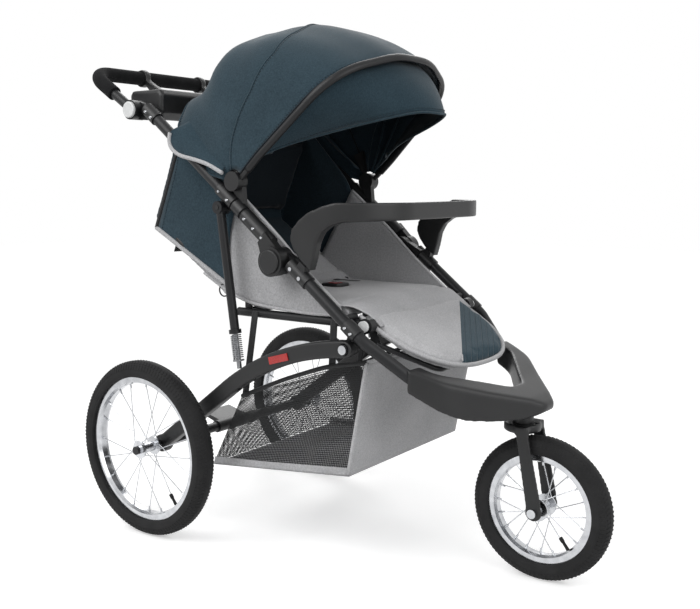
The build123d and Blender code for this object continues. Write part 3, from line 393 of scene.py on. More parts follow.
net = finish("mesh_black", (0.010, 0.0105, 0.0115), 0.85)
lattice = grain(net, "Voronoi", 1.0 / NET_PITCH, coords="UV", Randomness=0.0, voronoi_dimensions="2D")
hole = add(net, "Math", operation="GREATER_THAN")
hole.inputs[1].default_value = NET_OPEN
wire(net, lattice.outputs["Distance"], hole.inputs[0])
wire(net, hole.outputs[0], shader_of(net).inputs["Alpha"])
strands = grain(net, "Noise", 500.0, Detail=2.0)
tint(net, strands.outputs["Fac"], [(0.3, (0.008, 0.0085, 0.009)), (0.7, (0.020, 0.0205, 0.022))])
bump(net, lattice.outputs["Distance"], 0.0006, 0.6)

webbing = finish("webbing", (0.012, 0.0125, 0.0135), 0.8, sheen=0.1)
rows = grain(webbing, "Wave", 160.0, (1, 0.2, 1), Distortion=1.5)
fuzz = grain(webbing, "Noise", 700.0, Detail=2.0)
tint(webbing, fuzz.outputs["Fac"], [(0.3, (0.009, 0.0095, 0.0105)), (0.7, (0.022, 0.0225, 0.024))])
bump(webbing, rows.outputs["Fac"], 0.0005, 0.6)

# %% [markdown]
# Each rigid part of the frame already names the slot of its finish, so one loop hands them out.

# %% Dress the rigid parts
slot_of = {part["node"]: part["material_slot"] for part in record["subparts"]}
for name, part in nodes.items():
    part.data.materials.clear()
    part.data.materials.append(finishes[slot_of[name]])
print("finishes", len(finishes))

# %% [markdown]
# Cloth panels, tubes and pads all start as rows of points. These helpers turn rows into a mesh with a
# UV map in metres, put the faces outwards, and hand the piece to its body.

# %% Helpers for pieces
def new_piece(name, points, faces, finish_name):
    """Smooth mesh object at the origin."""
    mesh = bpy.data.meshes.new(name)
    mesh.from_pydata([tuple(p) for p in points], [], faces)
    mesh.materials.append(finishes[finish_name])
    mesh.polygons.foreach_set("use_smooth", [True] * len(faces))
    piece = bpy.data.objects.new(name, mesh)
    scene.collection.objects.link(piece)
    return piece


def grid_piece(name, rows, finish_name, away_from=None, ring=False):
    """Quads over equally long rows of points; ring joins each row's end to its start."""
    high, wide = len(rows), len(rows[0])
    points = np.array([[tuple(p) for p in row] for row in rows])
    faces = []
    for i in range(high - 1):
        for j in range(wide if ring else wide - 1):
            k = (j + 1) % wide
            faces.append((i * wide + j, i * wide + k, (i + 1) * wide + k, (i + 1) * wide + j))
    piece = new_piece(name, points.reshape(-1, 3), faces, finish_name)
    across = np.linalg.norm(np.diff(points, axis=1), axis=2).cumsum(1).mean(0)
    along = np.linalg.norm(np.diff(points, axis=0), axis=2).cumsum(0).mean(1)
    u, v = np.r_[0, across], np.r_[0, along]
    layer = piece.data.uv_layers.new(name="UVMap")
    for loop in piece.data.loops:
        layer.data[loop.index].uv = (u[loop.vertex_index % wide], v[loop.vertex_index // wide])
    if away_from is not None:
        centre = np.array(away_from)
        out = sum(np.dot(f.normal, np.array(f.center) - centre) * f.area for f in piece.data.polygons)
        if out < 0:
            piece.data.flip_normals()
    return piece


def even_line(points, count):
    """The same line with evenly spaced points."""
    line = np.array(points, dtype=float)
    run = np.r_[0, np.linalg.norm(np.diff(line, axis=0), axis=1).cumsum()]
    spots = np.linspace(0, run[-1], count)
    return np.stack([np.interp(spots, run, line[:, k]) for k in range(line.shape[1])], axis=1)


def rounded_line(points, count, passes=6):
    """Evenly spaced line with its corners eased, ends kept."""
    line = even_line(points, count)
    for _ in range(passes):
        line[1:-1] = (line[:-2] + 2 * line[1:-1] + line[2:]) / 4
    return line


def tube_piece(name, points, radius, finish_name, sides=10, loop=False):
    """Round tube along points, with closed ends."""
    path = [Vector(p) for p in points]
    count = len(path)
    rows, normal = [], None
    for i, p in enumerate(path):
        ahead = path[(i + 1) % count] if loop or i + 1 < count else p
        behind = path[i - 1] if loop or i else p
        run = (ahead - behind).normalized()
        if normal is None:
            normal = run.orthogonal().normalized()
        normal = (normal - run * normal.dot(run)).normalized()
        side = run.cross(normal)
        r = radius[i] if hasattr(radius, "__len__") else radius
        turns = [2 * math.pi * k / sides for k in range(sides)]
        rows.append([p + normal * r * math.cos(t) + side * r * math.sin(t) for t in turns])
    if loop:
        rows.append(rows[0])
    piece = grid_piece(name, rows, finish_name, ring=True)
    shape = bmesh.new()
    shape.from_mesh(piece.data)
    if loop:
        bmesh.ops.remove_doubles(shape, verts=shape.verts, dist=1e-6)
    else:
        bmesh.ops.holes_fill(shape, edges=[e for e in shape.edges if e.is_boundary], sides=sides)
    bmesh.ops.recalc_face_normals(shape, faces=shape.faces)
    shape.to_mesh(piece.data)
    shape.free()
    return piece


def thicken(piece, depth, inner=None):
    """Wall of that depth in metres behind the face, with its own inner finish."""
    wall = piece.modifiers.new("wall", "SOLIDIFY")
    wall.thickness = depth
    wall.offset = -1.0
    wall.use_even_offset = True
    if inner:
        piece.data.materials.append(finishes[inner])
        wall.material_offset = 1
    return piece


def soften(piece, levels=1):
    smooth = piece.modifiers.new("soft", "SUBSURF")
    smooth.levels = smooth.render_levels = levels
    return piece


def place(piece, body, slot=None, stands_for=()):
    """Put a finished piece on its body of the frame."""
    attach(piece, body)
    if stands_for:
        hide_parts(*stands_for)
    return piece


# %% [markdown]
# The canopy is cloth over three bows that all swing about one hinge. A bow is a bar bent in six places:
# straight legs, sloping shoulders and a flat top. The cloth between two bows is pulled hollow, so the
# height of the arch is a curve over the swing angle, and the rear part flares out again at its hem. The
# front cover moves with the front bow and lies a little over the rear one, so it slides over it in folding.

# %% Canopy covers
HINGE = on_tube(-165.0, 38.0)
COVER_WALL = 0.0022
LAP = 2.0
REAR_HALF = 241.0
BOW_BENDS = [120.0, 150.0, 190.0, 190.0, 150.0, 120.0]
ARCH_ANGLES = [38.0, 45.0, 50.0, 55.0, 60.0, 65.0, 70.0, 75.0, 80.0, 85.0, 90.0, 95.0, 100.0, 106.0, 112.0,
    118.0, 126.0, 132.0, 138.0]
ARCH_HEIGHTS = [
    364.0, 360.0, 354.0, 349.0, 344.0, 340.0, 337.0, 335.0, 333.0, 330.0, 325.0, 323.0,
    326.0, 324.0, 311.0, 292.0, 277.0, 284.0, 299.0]
ACROSS = 81
SEAM_ALONG = [-1.0, -0.86, -0.66, -0.48, -0.28, 0.0, 0.28, 0.48, 0.66, 0.86, 1.0]
SEAM_ANGLES = [103.0, 91.0, 78.0, 73.0, 76.0, 83.0, 76.0, 73.0, 78.0, 91.0, 103.0]
FRONT_BOW, HEM_TOP = 42.6, 138.0
TUBE_SWING, TUBE_DROP, HEM_MOST = 141.5, 31.0, 168.0


def bent(points, radii):
    """Dense points along an open outline with a round bend at each inner corner."""
    line = [np.array(points[0])]
    for i in range(1, len(points) - 1):
        a, p, c = (np.array(points[i + k]) for k in (-1, 0, 1))
        u, v = (p - a) / np.linalg.norm(p - a), (c - p) / np.linalg.norm(c - p)
        half = math.acos(float(np.clip(u @ v, -1, 1))) / 2
        reach = min(radii[i - 1] * math.tan(half), 0.49 * np.linalg.norm(p - a), 0.49 * np.linalg.norm(c - p))
        for t in np.linspace(0, 1, 12):
            line.append((1 - t) ** 2 * (p - u * reach) + 2 * t * (1 - t) * p + t ** 2 * (p + v * reach))
    return np.array(line + [np.array(points[-1])])


def bow_line(height, half, count=ACROSS):
    """Evenly spaced (radius, y) along a bow, from the left hinge to the right one."""
    side = [(24.0, half), (80.0, half), (0.832 * height, half - 25.0), (height, 60.0)]
    line = bent(side + [(r, -y) for r, y in reversed(side)], BOW_BENDS)
    run = np.r_[0, np.linalg.norm(np.diff(line, axis=0), axis=1).cumsum()]
    even = np.linspace(0, run[-1], count)
    return np.interp(even, run, line[:, 0]), np.interp(even, run, line[:, 1])


def arch(angle):
    """Height of the arch at one swing angle, by a smooth curve through the table."""
    fine = np.linspace(ARCH_ANGLES[0], ARCH_ANGLES[-1], 401)
    line = np.interp(fine, ARCH_ANGLES, ARCH_HEIGHTS)
    kernel = np.hanning(25)
    padded = np.pad(line, 12, mode="edge")
    return float(np.interp(angle, fine, np.convolve(padded, kernel / kernel.sum(), "valid")))


def under_canopy(angle, radius, y):
    a = math.radians(angle)
    return at(HINGE[0] + radius * math.cos(a), y, HINGE[1] + radius * math.sin(a))


def cover_rows(first, last, steps, lift, pleat=0.0):
    """Rows of cloth from one swing angle to another; both may depend on the place along the bow."""
    rows = []
    for i in range(steps + 1):
        row = []
        for j in range(ACROSS):
            along = 2.0 * j / (ACROSS - 1) - 1.0
            start, end = first(along), last(along)
            angle = start + (end - start) * i / steps
            r, y = bow_line(arch(angle) + lift, REAR_HALF + lift)
            fold = pleat * math.sin(along * 23.0 + angle * 0.31) * min(1.0, abs(along) * 1.4) * (i / steps) ** 2
            row.append(under_canopy(angle, r[j] + fold, y[j] + fold * 0.4 * (1 if y[j] > 0 else -1)))
        rows.append(row)
    return rows


def seam_angle(along):
    return float(np.interp(along, SEAM_ALONG, SEAM_ANGLES))


def hem_angle(along):
    """The hem follows the top of the main tube at the sides and rises to its own line over the middle."""
    r = float(np.interp(along, np.linspace(-1, 1, ACROSS), HEM_RADII))
    side = min(HEM_MOST, TUBE_SWING + math.degrees(math.asin(min(1.0, TUBE_DROP / r))))
    share = min(1.0, max(0.0, (r - 205.0) / 75.0))
    return side + (HEM_TOP - side) * share * share * (3 - 2 * share)


HEM_RADII = bow_line(arch(HEM_TOP), REAR_HALF)[0]
inside = at(HINGE[0], 0, HINGE[1] + 60)
front_rows = cover_rows(lambda a: FRONT_BOW, seam_angle, 30, LAP)
front_cover = grid_piece("canopy_front_cover", front_rows, "fabric_blue", inside)
thicken(front_cover, COVER_WALL, "lining")
place(front_cover, "canopy_front", "fabric_blue", ["canopy_front_panel"])

rear_rows = cover_rows(lambda a: seam_angle(a) - 5.0, hem_angle, 30, 0.0, pleat=1.6)
rear_cover = grid_piece("canopy_rear_cover", rear_rows, "fabric_blue", inside)
thicken(rear_cover, COVER_WALL, "lining")
place(rear_cover, "upper_frame", "fabric_blue", ["canopy_rear_panel"])

place(tube_piece("canopy_seam", front_rows[-1], 0.0018, "fabric_blue", 8), "canopy_front", "fabric_blue")
place(tube_piece("canopy_front_edge", front_rows[0], 0.0018, "fabric_dark", 8), "canopy_front", "fabric_dark")
place(tube_piece("canopy_hem", rear_rows[-1], 0.0032, "fabric_blue", 8), "upper_frame", "fabric_blue")

# %% [markdown]
# The front bow is sheathed in a moulded trim that is wider than the bar inside it. It is an oval swept
# along the same bent outline, a little ahead of the plane of the bow.

# %% Bow trim
BOW_SWING = math.radians(42.5)
BOW_AHEAD, BOW_RADIUS = 6.3, 376.0
TRIM_WIDE, TRIM_THICK = 8.6, 6.3
trim_r, trim_y = bow_line(BOW_RADIUS - 6.0, REAR_HALF + 3.0 - 6.0, 121)
ahead = Vector((math.sin(BOW_SWING), 0, -math.cos(BOW_SWING)))
along_leg = Vector((math.cos(BOW_SWING), 0, math.sin(BOW_SWING)))
trim_rows = []
for i in range(2, 119):
    run = Vector((trim_r[i + 1] - trim_r[i - 1], trim_y[i + 1] - trim_y[i - 1])).normalized()
    out = along_leg * -run.y + Vector((0, run.x, 0))
    middle = at(HINGE[0], trim_y[i], HINGE[1]) + along_leg * trim_r[i] * MM + ahead * BOW_AHEAD * MM
    row = []
    for t in np.linspace(0, 2 * math.pi, 16, endpoint=False):
        row.append(middle + ahead * TRIM_WIDE * MM * math.cos(t) + out * TRIM_THICK * MM * math.sin(t))
    trim_rows.append(row)
trim = grid_piece("bow_trim", trim_rows, "frame_black", ring=True)
shape = bmesh.new()
shape.from_mesh(trim.data)
bmesh.ops.holes_fill(shape, edges=[e for e in shape.edges if e.is_boundary], sides=16)
bmesh.ops.recalc_face_normals(shape, faces=shape.faces)
shape.to_mesh(trim.data)
shape.free()
place(trim, "canopy_front", "plastic_black")
print("bow trim points", len(trim.data.vertices))

# %% [markdown]
# The visor is one more leaf of cloth that slides under the front bow. Its lower edge is straight in
# the side view, so it reaches far out over the child and runs to nothing at the hinges. Inside it,
# and inside the front cover, thin boned ribs run from hinge to hinge and hold the leaf open.

# %% Visor and ribs
VISOR_TOP = 348.0
VISOR_HALF = 230.5
VISOR_START = 46.0
VISOR_STEPS = 16
VISOR_EDGE = [
    (0, 370, 20.6), (20, 366, 21.8), (40, 357, 22.6), (60, 343, 23.0), (80, 320, 23.6), (100, 290, 24.4),
    (120, 255, 25.8), (140, 212, 28.0), (160, 170, 31.0), (180, 140, 34.0), (195, 117, 36.5),
    (208, 98, 39.0), (222, 80, 41.2)]

edge = np.array([(y, r, angle) for y, r, angle in reversed(VISOR_EDGE)]
    + [(-y, r, angle) for y, r, angle in VISOR_EDGE[1:]])
scaled = np.stack([edge[:, 0], edge[:, 1], edge[:, 2] * 4.0], axis=1)
visor_tip = rounded_line(scaled, ACROSS, 10) / (1, 1, 4.0)
visor_r, visor_y = bow_line(VISOR_TOP, VISOR_HALF)
visor_rows = []
for i in range(VISOR_STEPS + 1):
    t = i / VISOR_STEPS
    row = []
    for r, y, (tip_y, tip_r, tip_angle) in zip(visor_r, visor_y, visor_tip):
        swell = 0.10 * math.sin(math.pi * t)
        share = t ** 1.5
        angle = VISOR_START + (tip_angle - VISOR_START) * t
        row.append(under_canopy(angle, r + (tip_r - r) * share + swell * min(r, 60.0),
            y + (tip_y - y) * share))
    visor_rows.append(row)
visor = grid_piece("visor_cover", visor_rows, "fabric_blue", inside)
thicken(visor, 0.002, "lining")
place(visor, "visor", "fabric_blue", ["canopy_visor"])
place(tube_piece("visor_hem", visor_rows[-1], 0.0024, "fabric_blue", 8), "visor", "fabric_blue")

RIB_R = 0.0024
for k, angle in enumerate((58.0, 70.0)):
    r, y = bow_line(arch(angle) - 2.4, REAR_HALF - 2.4)
    rib = [under_canopy(angle, a, b) for a, b in zip(r, y)]
    place(tube_piece(f"canopy_rib_{k}", rib, RIB_R, "fabric_blue", 8), "canopy_front", "fabric_blue")
r, y = bow_line(arch(112.0) - 4.4, REAR_HALF - 4.4)
rear_rib = [under_canopy(112.0, a, b) for a, b in zip(r, y)]
place(tube_piece("canopy_rear_rib", rear_rib, RIB_R, "fabric_dark", 8), "upper_frame", "fabric_dark")
print("canopy reaches", round(max(p.x for row in visor_rows for p in row), 3))

# %% [markdown]
# The seat, the back, the head roll and the legrest are quilted pads: two skins sewn together in
# channels over a sheet of foam. The rigid model holds a plain solid of each one with its channels cut in.
# A copy of that solid, shrunk a little, is remeshed evenly and blown up as cloth, so the skin swells between
# the channels and pulls in at the corners. A cap on the travel keeps each pad in its own room. The back and
# the head roll are drawn out again to the width of the panels beside them.

# %% Pads blown up as cloth
PAD_VOXEL = 0.0055
PAD_SHRINK = 0.0035
PAD_CAP = 0.006
PAD_FRAMES = 20


def apply_modifiers(piece):
    """Make the evaluated shape the plain mesh."""
    depsgraph = bpy.context.evaluated_depsgraph_get()
    mesh = bpy.data.meshes.new_from_object(piece.evaluated_get(depsgraph))
    piece.modifiers.clear()
    old, piece.data = piece.data, mesh
    bpy.data.meshes.remove(old)


def vertex_places(mesh, values=None):
    """Read all vertex places, or write them."""
    if values is None:
        values = np.empty(len(mesh.vertices) * 3)
        mesh.vertices.foreach_get("co", values)
        return values.reshape(-1, 3)
    mesh.vertices.foreach_set("co", np.asarray(values).ravel())
    mesh.update()


def pad_from(node, name, finish_name, cap=PAD_CAP, voxel=PAD_VOXEL, shrink=PAD_SHRINK):
    """Even, rounded copy of a soft solid, swollen by cloth pressure."""
    mesh = nodes[node].data.copy()
    shape = bmesh.new()
    shape.from_mesh(mesh)
    bmesh.ops.remove_doubles(shape, verts=shape.verts, dist=1e-5)
    shape.to_mesh(mesh)
    shape.free()
    mesh.name = name
    mesh.materials.clear()
    pad = bpy.data.objects.new(name, mesh)
    scene.collection.objects.link(pad)
    even = pad.modifiers.new("even", "REMESH")
    even.mode = "VOXEL"
    even.voxel_size = voxel
    ease = pad.modifiers.new("ease", "SMOOTH")
    ease.iterations = 4
    apply_modifiers(pad)
    normals = np.empty(len(pad.data.vertices) * 3)
    pad.data.vertices.foreach_get("normal", normals)
    start = vertex_places(pad.data) - normals.reshape(-1, 3) * shrink
    vertex_places(pad.data, start)
    cloth = pad.modifiers.new("cloth", "CLOTH")
    cloth.settings.use_pressure = True
    cloth.settings.uniform_pressure_force = 4.0
    cloth.settings.effector_weights.gravity = 0.0
    cloth.settings.quality = 4
    for frame_number in range(1, PAD_FRAMES + 1):
        scene.frame_set(frame_number)
    apply_modifiers(pad)
    scene.frame_set(1)
    moved = vertex_places(pad.data) - start
    length = np.linalg.norm(moved, axis=1, keepdims=True)
    moved *= np.minimum(1.0, cap / np.maximum(length, 1e-9))
    vertex_places(pad.data, start + moved)
    pad.data.materials.append(finishes[finish_name])
    pad.data.polygons.foreach_set("use_smooth", [True] * len(pad.data.polygons))
    soften(pad, 1)
    print(pad.name, "points", len(pad.data.vertices))
    return pad


# %% [markdown]
# The legrest has one corner in the blue cloth, cut off along a slanting seam and quilted in close ribs.
# A pad that was remeshed has no UV map left, so its finish tells the corner from the rest by the place
# of a point on the plan: two greys and two blues are mixed by which side of the seam it lies on.

# %% Two-colour legrest cloth
SEAM_FROM, SEAM_TO = at(503.0, 205.0, 0), at(695.0, -119.0, 0)
RIB_PITCH = 0.012
across_seam = Vector((SEAM_TO.y - SEAM_FROM.y, SEAM_FROM.x - SEAM_TO.x, 0)).normalized()
if across_seam.x < 0:
    across_seam = -across_seam

corner = heather("legrest_cloth", (0.33, 0.33, 0.34), (0.57, 0.57, 0.58), 0.15)
own_place = add(corner, "TexCoord")
distance = add(corner, "VectorMath", operation="DOT_PRODUCT")
distance.inputs[1].default_value = tuple(across_seam)
wire(corner, own_place.outputs["Object"], distance.inputs[0])
beyond = add(corner, "Math", operation="GREATER_THAN")
beyond.inputs[1].default_value = across_seam.dot(SEAM_FROM)
wire(corner, distance.outputs["Value"], beyond.inputs[0])
blue_yarn = grain(corner, "Noise", 1.0, (520, 1100, 520), Detail=2.0)
blue = add(corner, "ValToRGB")
blue.color_ramp.elements[0].position, blue.color_ramp.elements[1].position = 0.36, 0.64
blue.color_ramp.elements[0].color = (0.016, 0.034, 0.047, 1)
blue.color_ramp.elements[1].color = (0.044, 0.078, 0.100, 1)
wire(corner, blue_yarn.outputs["Fac"], blue.inputs["Fac"])
pick = add(corner, "Mix", data_type="RGBA")
old_colour = shader_of(corner).inputs["Base Color"].links[0].from_socket
wire(corner, beyond.outputs[0], pick.inputs["Factor"])
wire(corner, old_colour, pick.inputs["A"])
wire(corner, blue.outputs["Color"], pick.inputs["B"])
wire(corner, pick.outputs["Result"], shader_of(corner).inputs["Base Color"])
ribs = add(corner, "Math", operation="PINGPONG")
ribs.inputs[1].default_value = RIB_PITCH / 2
wire(corner, distance.outputs["Value"], ribs.inputs[0])
groove = add(corner, "MapRange")
groove.inputs["From Max"].default_value = 0.0018
wire(corner, ribs.outputs[0], groove.inputs["Value"])
lower = add(corner, "Math", operation="MULTIPLY")
wire(corner, groove.outputs[0], lower.inputs[0])
wire(corner, beyond.outputs[0], lower.inputs[1])
bump(corner, lower.outputs[0], 0.0016, 0.8)

# %% Seat, back, head roll and legrest
LINED_ABOVE = 0.605
PADS = [
    ("seat_pad", "seat_cushion", "fabric_grey", "lower_frame", 0.7, 1.0),
    ("backrest_panel", "back_cushion", "fabric_grey", "backrest", 0.6, 1.09),
    ("head_bolster", "head_cushion", "fabric_dark", "backrest", 0.8, 1.12),
    ("legrest_pad", "legrest_cushion", "legrest_cloth", "legrest", 0.7, 1.0),
]
for node, name, finish_name, body, fill, widen in PADS:
    cushion = pad_from(node, name, finish_name)
    vertex_places(cushion.data, vertex_places(cushion.data) * (1.0, widen, 1.0))
    if node == "backrest_panel":
        cushion.data.materials.append(finishes["lining"])
        for face in cushion.data.polygons:
            face.material_index = int(face.center.z > LINED_ABOVE)
    place(cushion, body, slot_of[node], [node])

# %% [markdown]
# Side panels are single cloth sewn to the edge of the pads. Each one is laid out between a lower and an
# upper edge, as its pattern would be, and bellies out a little in the middle. A rolled
# piping of light cloth closes the free edges.

# %% Side panels of seat and back
def side_panel(name, low, high, y, belly, finish_name, steps=14, count=33, turns=()):
    """Cloth between two side view lines at one y, bellied outwards; its low edge may turn in."""
    a, b = rounded_line(low, count), rounded_line(high, count)
    rows = [[at(p[0], y - math.copysign(turn, y), p[1]) for p in a] for turn in turns]
    for i in range(steps + 1):
        t = i / steps
        row = []
        for j in range(count):
            p = a[j] * (1 - t) + b[j] * t
            bulge = belly * math.sin(math.pi * t) * math.sin(math.pi * j / (count - 1))
            row.append(at(p[0], y + math.copysign(bulge, y), p[1]))
        rows.append(row)
    middle = at(*a.mean(0)[:1], 0, a.mean(0)[1])
    return grid_piece(name, rows, finish_name, middle), rows


BACK_REAR = [(-40.0, 676.0), (-12.0, 742.0), (22.0, 822.0), (54.0, 892.0)]
BACK_SPLIT = [
    (184.0, 556.0), (178.0, 634.0), (184.0, 689.0), (202.0, 720.0), (204.0, 746.0), (194.0, 774.0),
    (164.0, 808.0), (116.0, 856.0), (76.0, 900.0)]
BACK_Y, WALL_Y = 207.5, 202.5
TURNS = (52.0, 36.0, 20.0, 8.0)
SEAT_LOW = [(102.0, 582.0), (150.0, 556.0), (205.0, 533.0), (250.0, 524.0), (310.0, 520.0), (400.0, 516.0),
    (476.0, 520.0)]
SEAT_HIGH = [
    (204.0, 757.0), (240.0, 729.0), (274.0, 700.0), (318.0, 664.0), (358.0, 626.0), (396.0, 592.0),
    (468.0, 536.0)]
WALL_STILL, WALL_MOVES = (300.0, 600.0), (195.0, 680.0)


def across_recline(piece, y):
    """Cloth that is sewn to the seat and to the back, and stretches between them."""
    start, end = (at(x, y, z) for x, z in (WALL_STILL, WALL_MOVES))
    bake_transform(piece, "lower_frame", "backrest", start=tuple(start), end=tuple(end))


panel_rows = {}
for side, y in (("left", 1.0), ("right", -1.0)):
    panel, rows = side_panel(side + "_back_panel", BACK_REAR, BACK_SPLIT, y * BACK_Y, 1.0, "fabric_blue",
        turns=TURNS)
    thicken(panel, 0.0025, "lining")
    place(panel, "backrest", "fabric_blue", ["back_sides"])
    seat, seat_rows = side_panel(side + "_seat_panel", SEAT_LOW, SEAT_HIGH, y * WALL_Y, 0.0, "fabric_grey")
    thicken(seat, 0.0025)
    across_recline(seat, y * WALL_Y)
    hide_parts("seat_sides")
    binding, hem = rows[len(TURNS)], [row[0] for row in rows[len(TURNS):]]
    place(tube_piece(side + "_back_binding", binding, 0.0042, "webbing", 10), "backrest", "fabric_dark")
    place(tube_piece(side + "_back_piping", hem, 0.0050, "piping_grey", 10), "backrest", "fabric_grey")
    across_recline(tube_piece(side + "_seat_piping", seat_rows[-1], 0.0036, "piping_grey", 10), y * WALL_Y)
    across_recline(tube_piece(side + "_seat_welt", seat_rows[0], 0.0034, "piping_grey", 10), y * WALL_Y)
    panel_rows[side] = [("back", "backrest", "fabric_dark", rows[len(TURNS) + 1]),
        ("split", "backrest", "fabric_dark", rows[-2])]
print("side panels", 4)

# %% [markdown]
# The rear cloth of the canopy ends in a loose flap on either side. It hangs over the main tube and is
# edged in light piping.

# %% Flaps over the main tubes
FLAP_LOW = [
    (208.0, 795.0), (167.0, 814.0), (123.0, 825.0), (85.0, 832.0), (60.0, 847.0), (53.0, 865.0),
    (59.0, 880.0)]
FLAP_HIGH = [
    (204.0, 815.0), (180.0, 838.0), (150.0, 866.0), (118.0, 896.0), (98.0, 912.0), (84.0, 910.0),
    (72.0, 900.0)]
FLAP_Y = (253.0, 216.0)
flap_low, flap_high = rounded_line(FLAP_LOW, 33), rounded_line(FLAP_HIGH, 33)
for side, sign in (("left", 1.0), ("right", -1.0)):
    rows = []
    for t in np.linspace(0, 1, 9):
        y = FLAP_Y[0] + (FLAP_Y[1] - FLAP_Y[0]) * t * t
        rows.append([at(p[0], sign * y, p[1]) for p in flap_low * (1 - t) + flap_high * t])
    flap = grid_piece(side + "_canopy_flap", rows, "fabric_blue", at(120.0, 0.0, 860.0))
    thicken(flap, 0.0025, "lining")
    place(flap, "upper_frame", "fabric_blue")
    place(tube_piece(side + "_flap_piping", rows[0], 0.0042, "piping_grey", 10), "upper_frame", "fabric_grey")
print("canopy flaps", 2)

# %% [markdown]
# The legrest is edged all round by a rolled piping of light cloth, and one more line of piping covers
# the slanting seam of its blue corner. Both lie on the skin of the finished pad; their height is
# taken from the sloping plane of the legrest's top, a given depth below it.

# %% Legrest piping
LEG_EDGE = [
    (500.0, 181.0), (560.0, 181.0), (605.0, 170.0), (640.0, 146.0), (664.0, 112.0), (676.0, 76.0),
    (681.0, 40.0), (682.0, 0.0)]
LEG_SLOPE = math.radians(28.0)


def leg_top(x, depth=0.0):
    """Height of the legrest's upper plane, or depth below it."""
    return 549.0 - (x - 465.0) * math.tan(LEG_SLOPE) - depth / math.cos(LEG_SLOPE)


edge = LEG_EDGE + [(x, -y) for x, y in reversed(LEG_EDGE[:-1])]
edge = rounded_line(edge, 81, 3)
welt = [at(x, y, leg_top(x, 11.0)) for x, y in edge]
place(tube_piece("legrest_piping", welt, 0.0046, "piping_grey", 10), "legrest", "fabric_grey")
slant = []
for t in np.linspace(0.075, 0.905, 40):
    p = SEAM_FROM.lerp(SEAM_TO, t)
    x_mm = p.x / MM - AXLE_X
    dip = min(abs((x_mm - 465.0) / math.cos(LEG_SLOPE) - u) for u in (110.0, 155.0, 200.0))
    slant.append(Vector((p.x, p.y, leg_top(x_mm, 1.2 + max(0.0, 1.6 - 0.4 * dip)) * MM)))
place(tube_piece("legrest_seam", slant, 0.0018, "piping_grey", 8), "legrest", "fabric_grey")
print("legrest edge", round(sum((a - b).length for a, b in zip(welt, welt[1:])), 3), "m")

# %% [markdown]
# Seat and legrest wear one cover, so a strip of the same cloth runs over the gap between the two pads.
# It is crowned like the seat at its rear edge and flat on the legrest, and it turns with the legrest
# along its front edge only. The same cover runs on from the seat to the back, over the slit at the
# recline hinge.

# %% Strips over the knee and the waist
KNEE_LINE = [(446.0, 546.0), (462.0, 547.5), (478.0, 546.5), (492.0, 541.5), (505.0, 533.0), (518.0, 524.0)]
KNEE_END = 548.0
KNEE_WIDE, KNEE_NARROW = 197.0, 179.0
KNEE_TURN = (488.0, 524.0)
WAIST_LINE = [
    (252.0, 545.0), (240.0, 550.0), (226.0, 549.0), (213.0, 546.5), (203.0, 549.5), (192.0, 556.5),
    (182.0, 562.0), (172.0, 563.0)]
WAIST_HALF = 190.0
WAIST_TURN = (226.0, 194.0)
STRIP_WALL = 0.0022


def share_of(x, start, run):
    """How far x has come along a run, from 0 to 1."""
    return min(1.0, max(0.0, (x - start) / run))


def cover_strip(name, line, half_at, crown_at, middle):
    """Cloth over the gap between two pads, crowned across its width."""
    rows = []
    for x, z in rounded_line(line, 25, 3):
        half, crown = half_at(x), crown_at(x)
        rows.append([at(x, half * t, z - crown * t * t) for t in np.linspace(-1, 1, 41)])
    return grid_piece(name, rows, "fabric_grey", at(middle, 0, 400.0))


knee = cover_strip(
    "knee_strip", KNEE_LINE + [(532.0, leg_top(532.0) + 1.6), (KNEE_END, leg_top(KNEE_END) - 3.0)],
    lambda x: KNEE_WIDE + (KNEE_NARROW - KNEE_WIDE) * share_of(x, 470.0, 50.0),
    lambda x: 8.5 * (1 - share_of(x, 470.0, 50.0)), 500.0)
waist = cover_strip(
    "waist_strip", WAIST_LINE, lambda x: WAIST_HALF, lambda x: 8.0 * share_of(x, 200.0, 30.0), 210.0)
for strip, pads, body, turn, height in (
        (knee, ["seat_pad", "legrest_pad"], "legrest", KNEE_TURN, 530),
        (waist, ["seat_pad", "backrest_panel"], "backrest", WAIST_TURN, 550)):
    thicken(strip, STRIP_WALL)
    start, end = (tuple(at(x, 0, height)) for x in turn)
    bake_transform(strip, "lower_frame", body, start=start, end=end)
print("cover strips", 2)

# %% [markdown]
# Harness webbing is flat, woven tape. A strap is a thin rounded band that follows a side view line; the
# padded covers over the shoulder straps are the same band, thicker, with its ends drawn in.

# %% Harness straps
def band_piece(name, line, y0, y1, thick, finish_name, crown=0.0):
    """Band between two y values along (x, z) points of its middle layer."""
    line = rounded_line(line, max(12, 3 * len(line)), 2)
    rows = []
    for i, (x, z) in enumerate(line):
        ahead, behind = line[min(i + 1, len(line) - 1)], line[max(i - 1, 0)]
        run = (ahead - behind) / np.linalg.norm(ahead - behind)
        normal = np.array((-run[1], run[0]))
        end = min(1.0, min(i, len(line) - 1 - i) / 2.0) if crown else 1.0
        half = thick / 2 * (0.35 + 0.65 * end)
        wide = (y1 - y0) / 2 * (0.86 + 0.14 * end)
        row = []
        for a in np.linspace(0, 2 * math.pi, 20, endpoint=False):
            c, s = math.cos(a), math.sin(a)
            out = half * math.copysign(abs(s) ** (0.9 if crown else 0.35), s)
            across = (y0 + y1) / 2 + wide * math.copysign(abs(c) ** 0.35, c)
            p = np.array((x, z)) + normal * out
            row.append(at(p[0], across, p[1]))
        rows.append(row)
    band = grid_piece(name, rows, finish_name, ring=True)
    shape = bmesh.new()
    shape.from_mesh(band.data)
    bmesh.ops.holes_fill(shape, edges=[e for e in shape.edges if e.is_boundary], sides=24)
    bmesh.ops.recalc_face_normals(shape, faces=shape.faces)
    shape.to_mesh(band.data)
    shape.free()
    return band


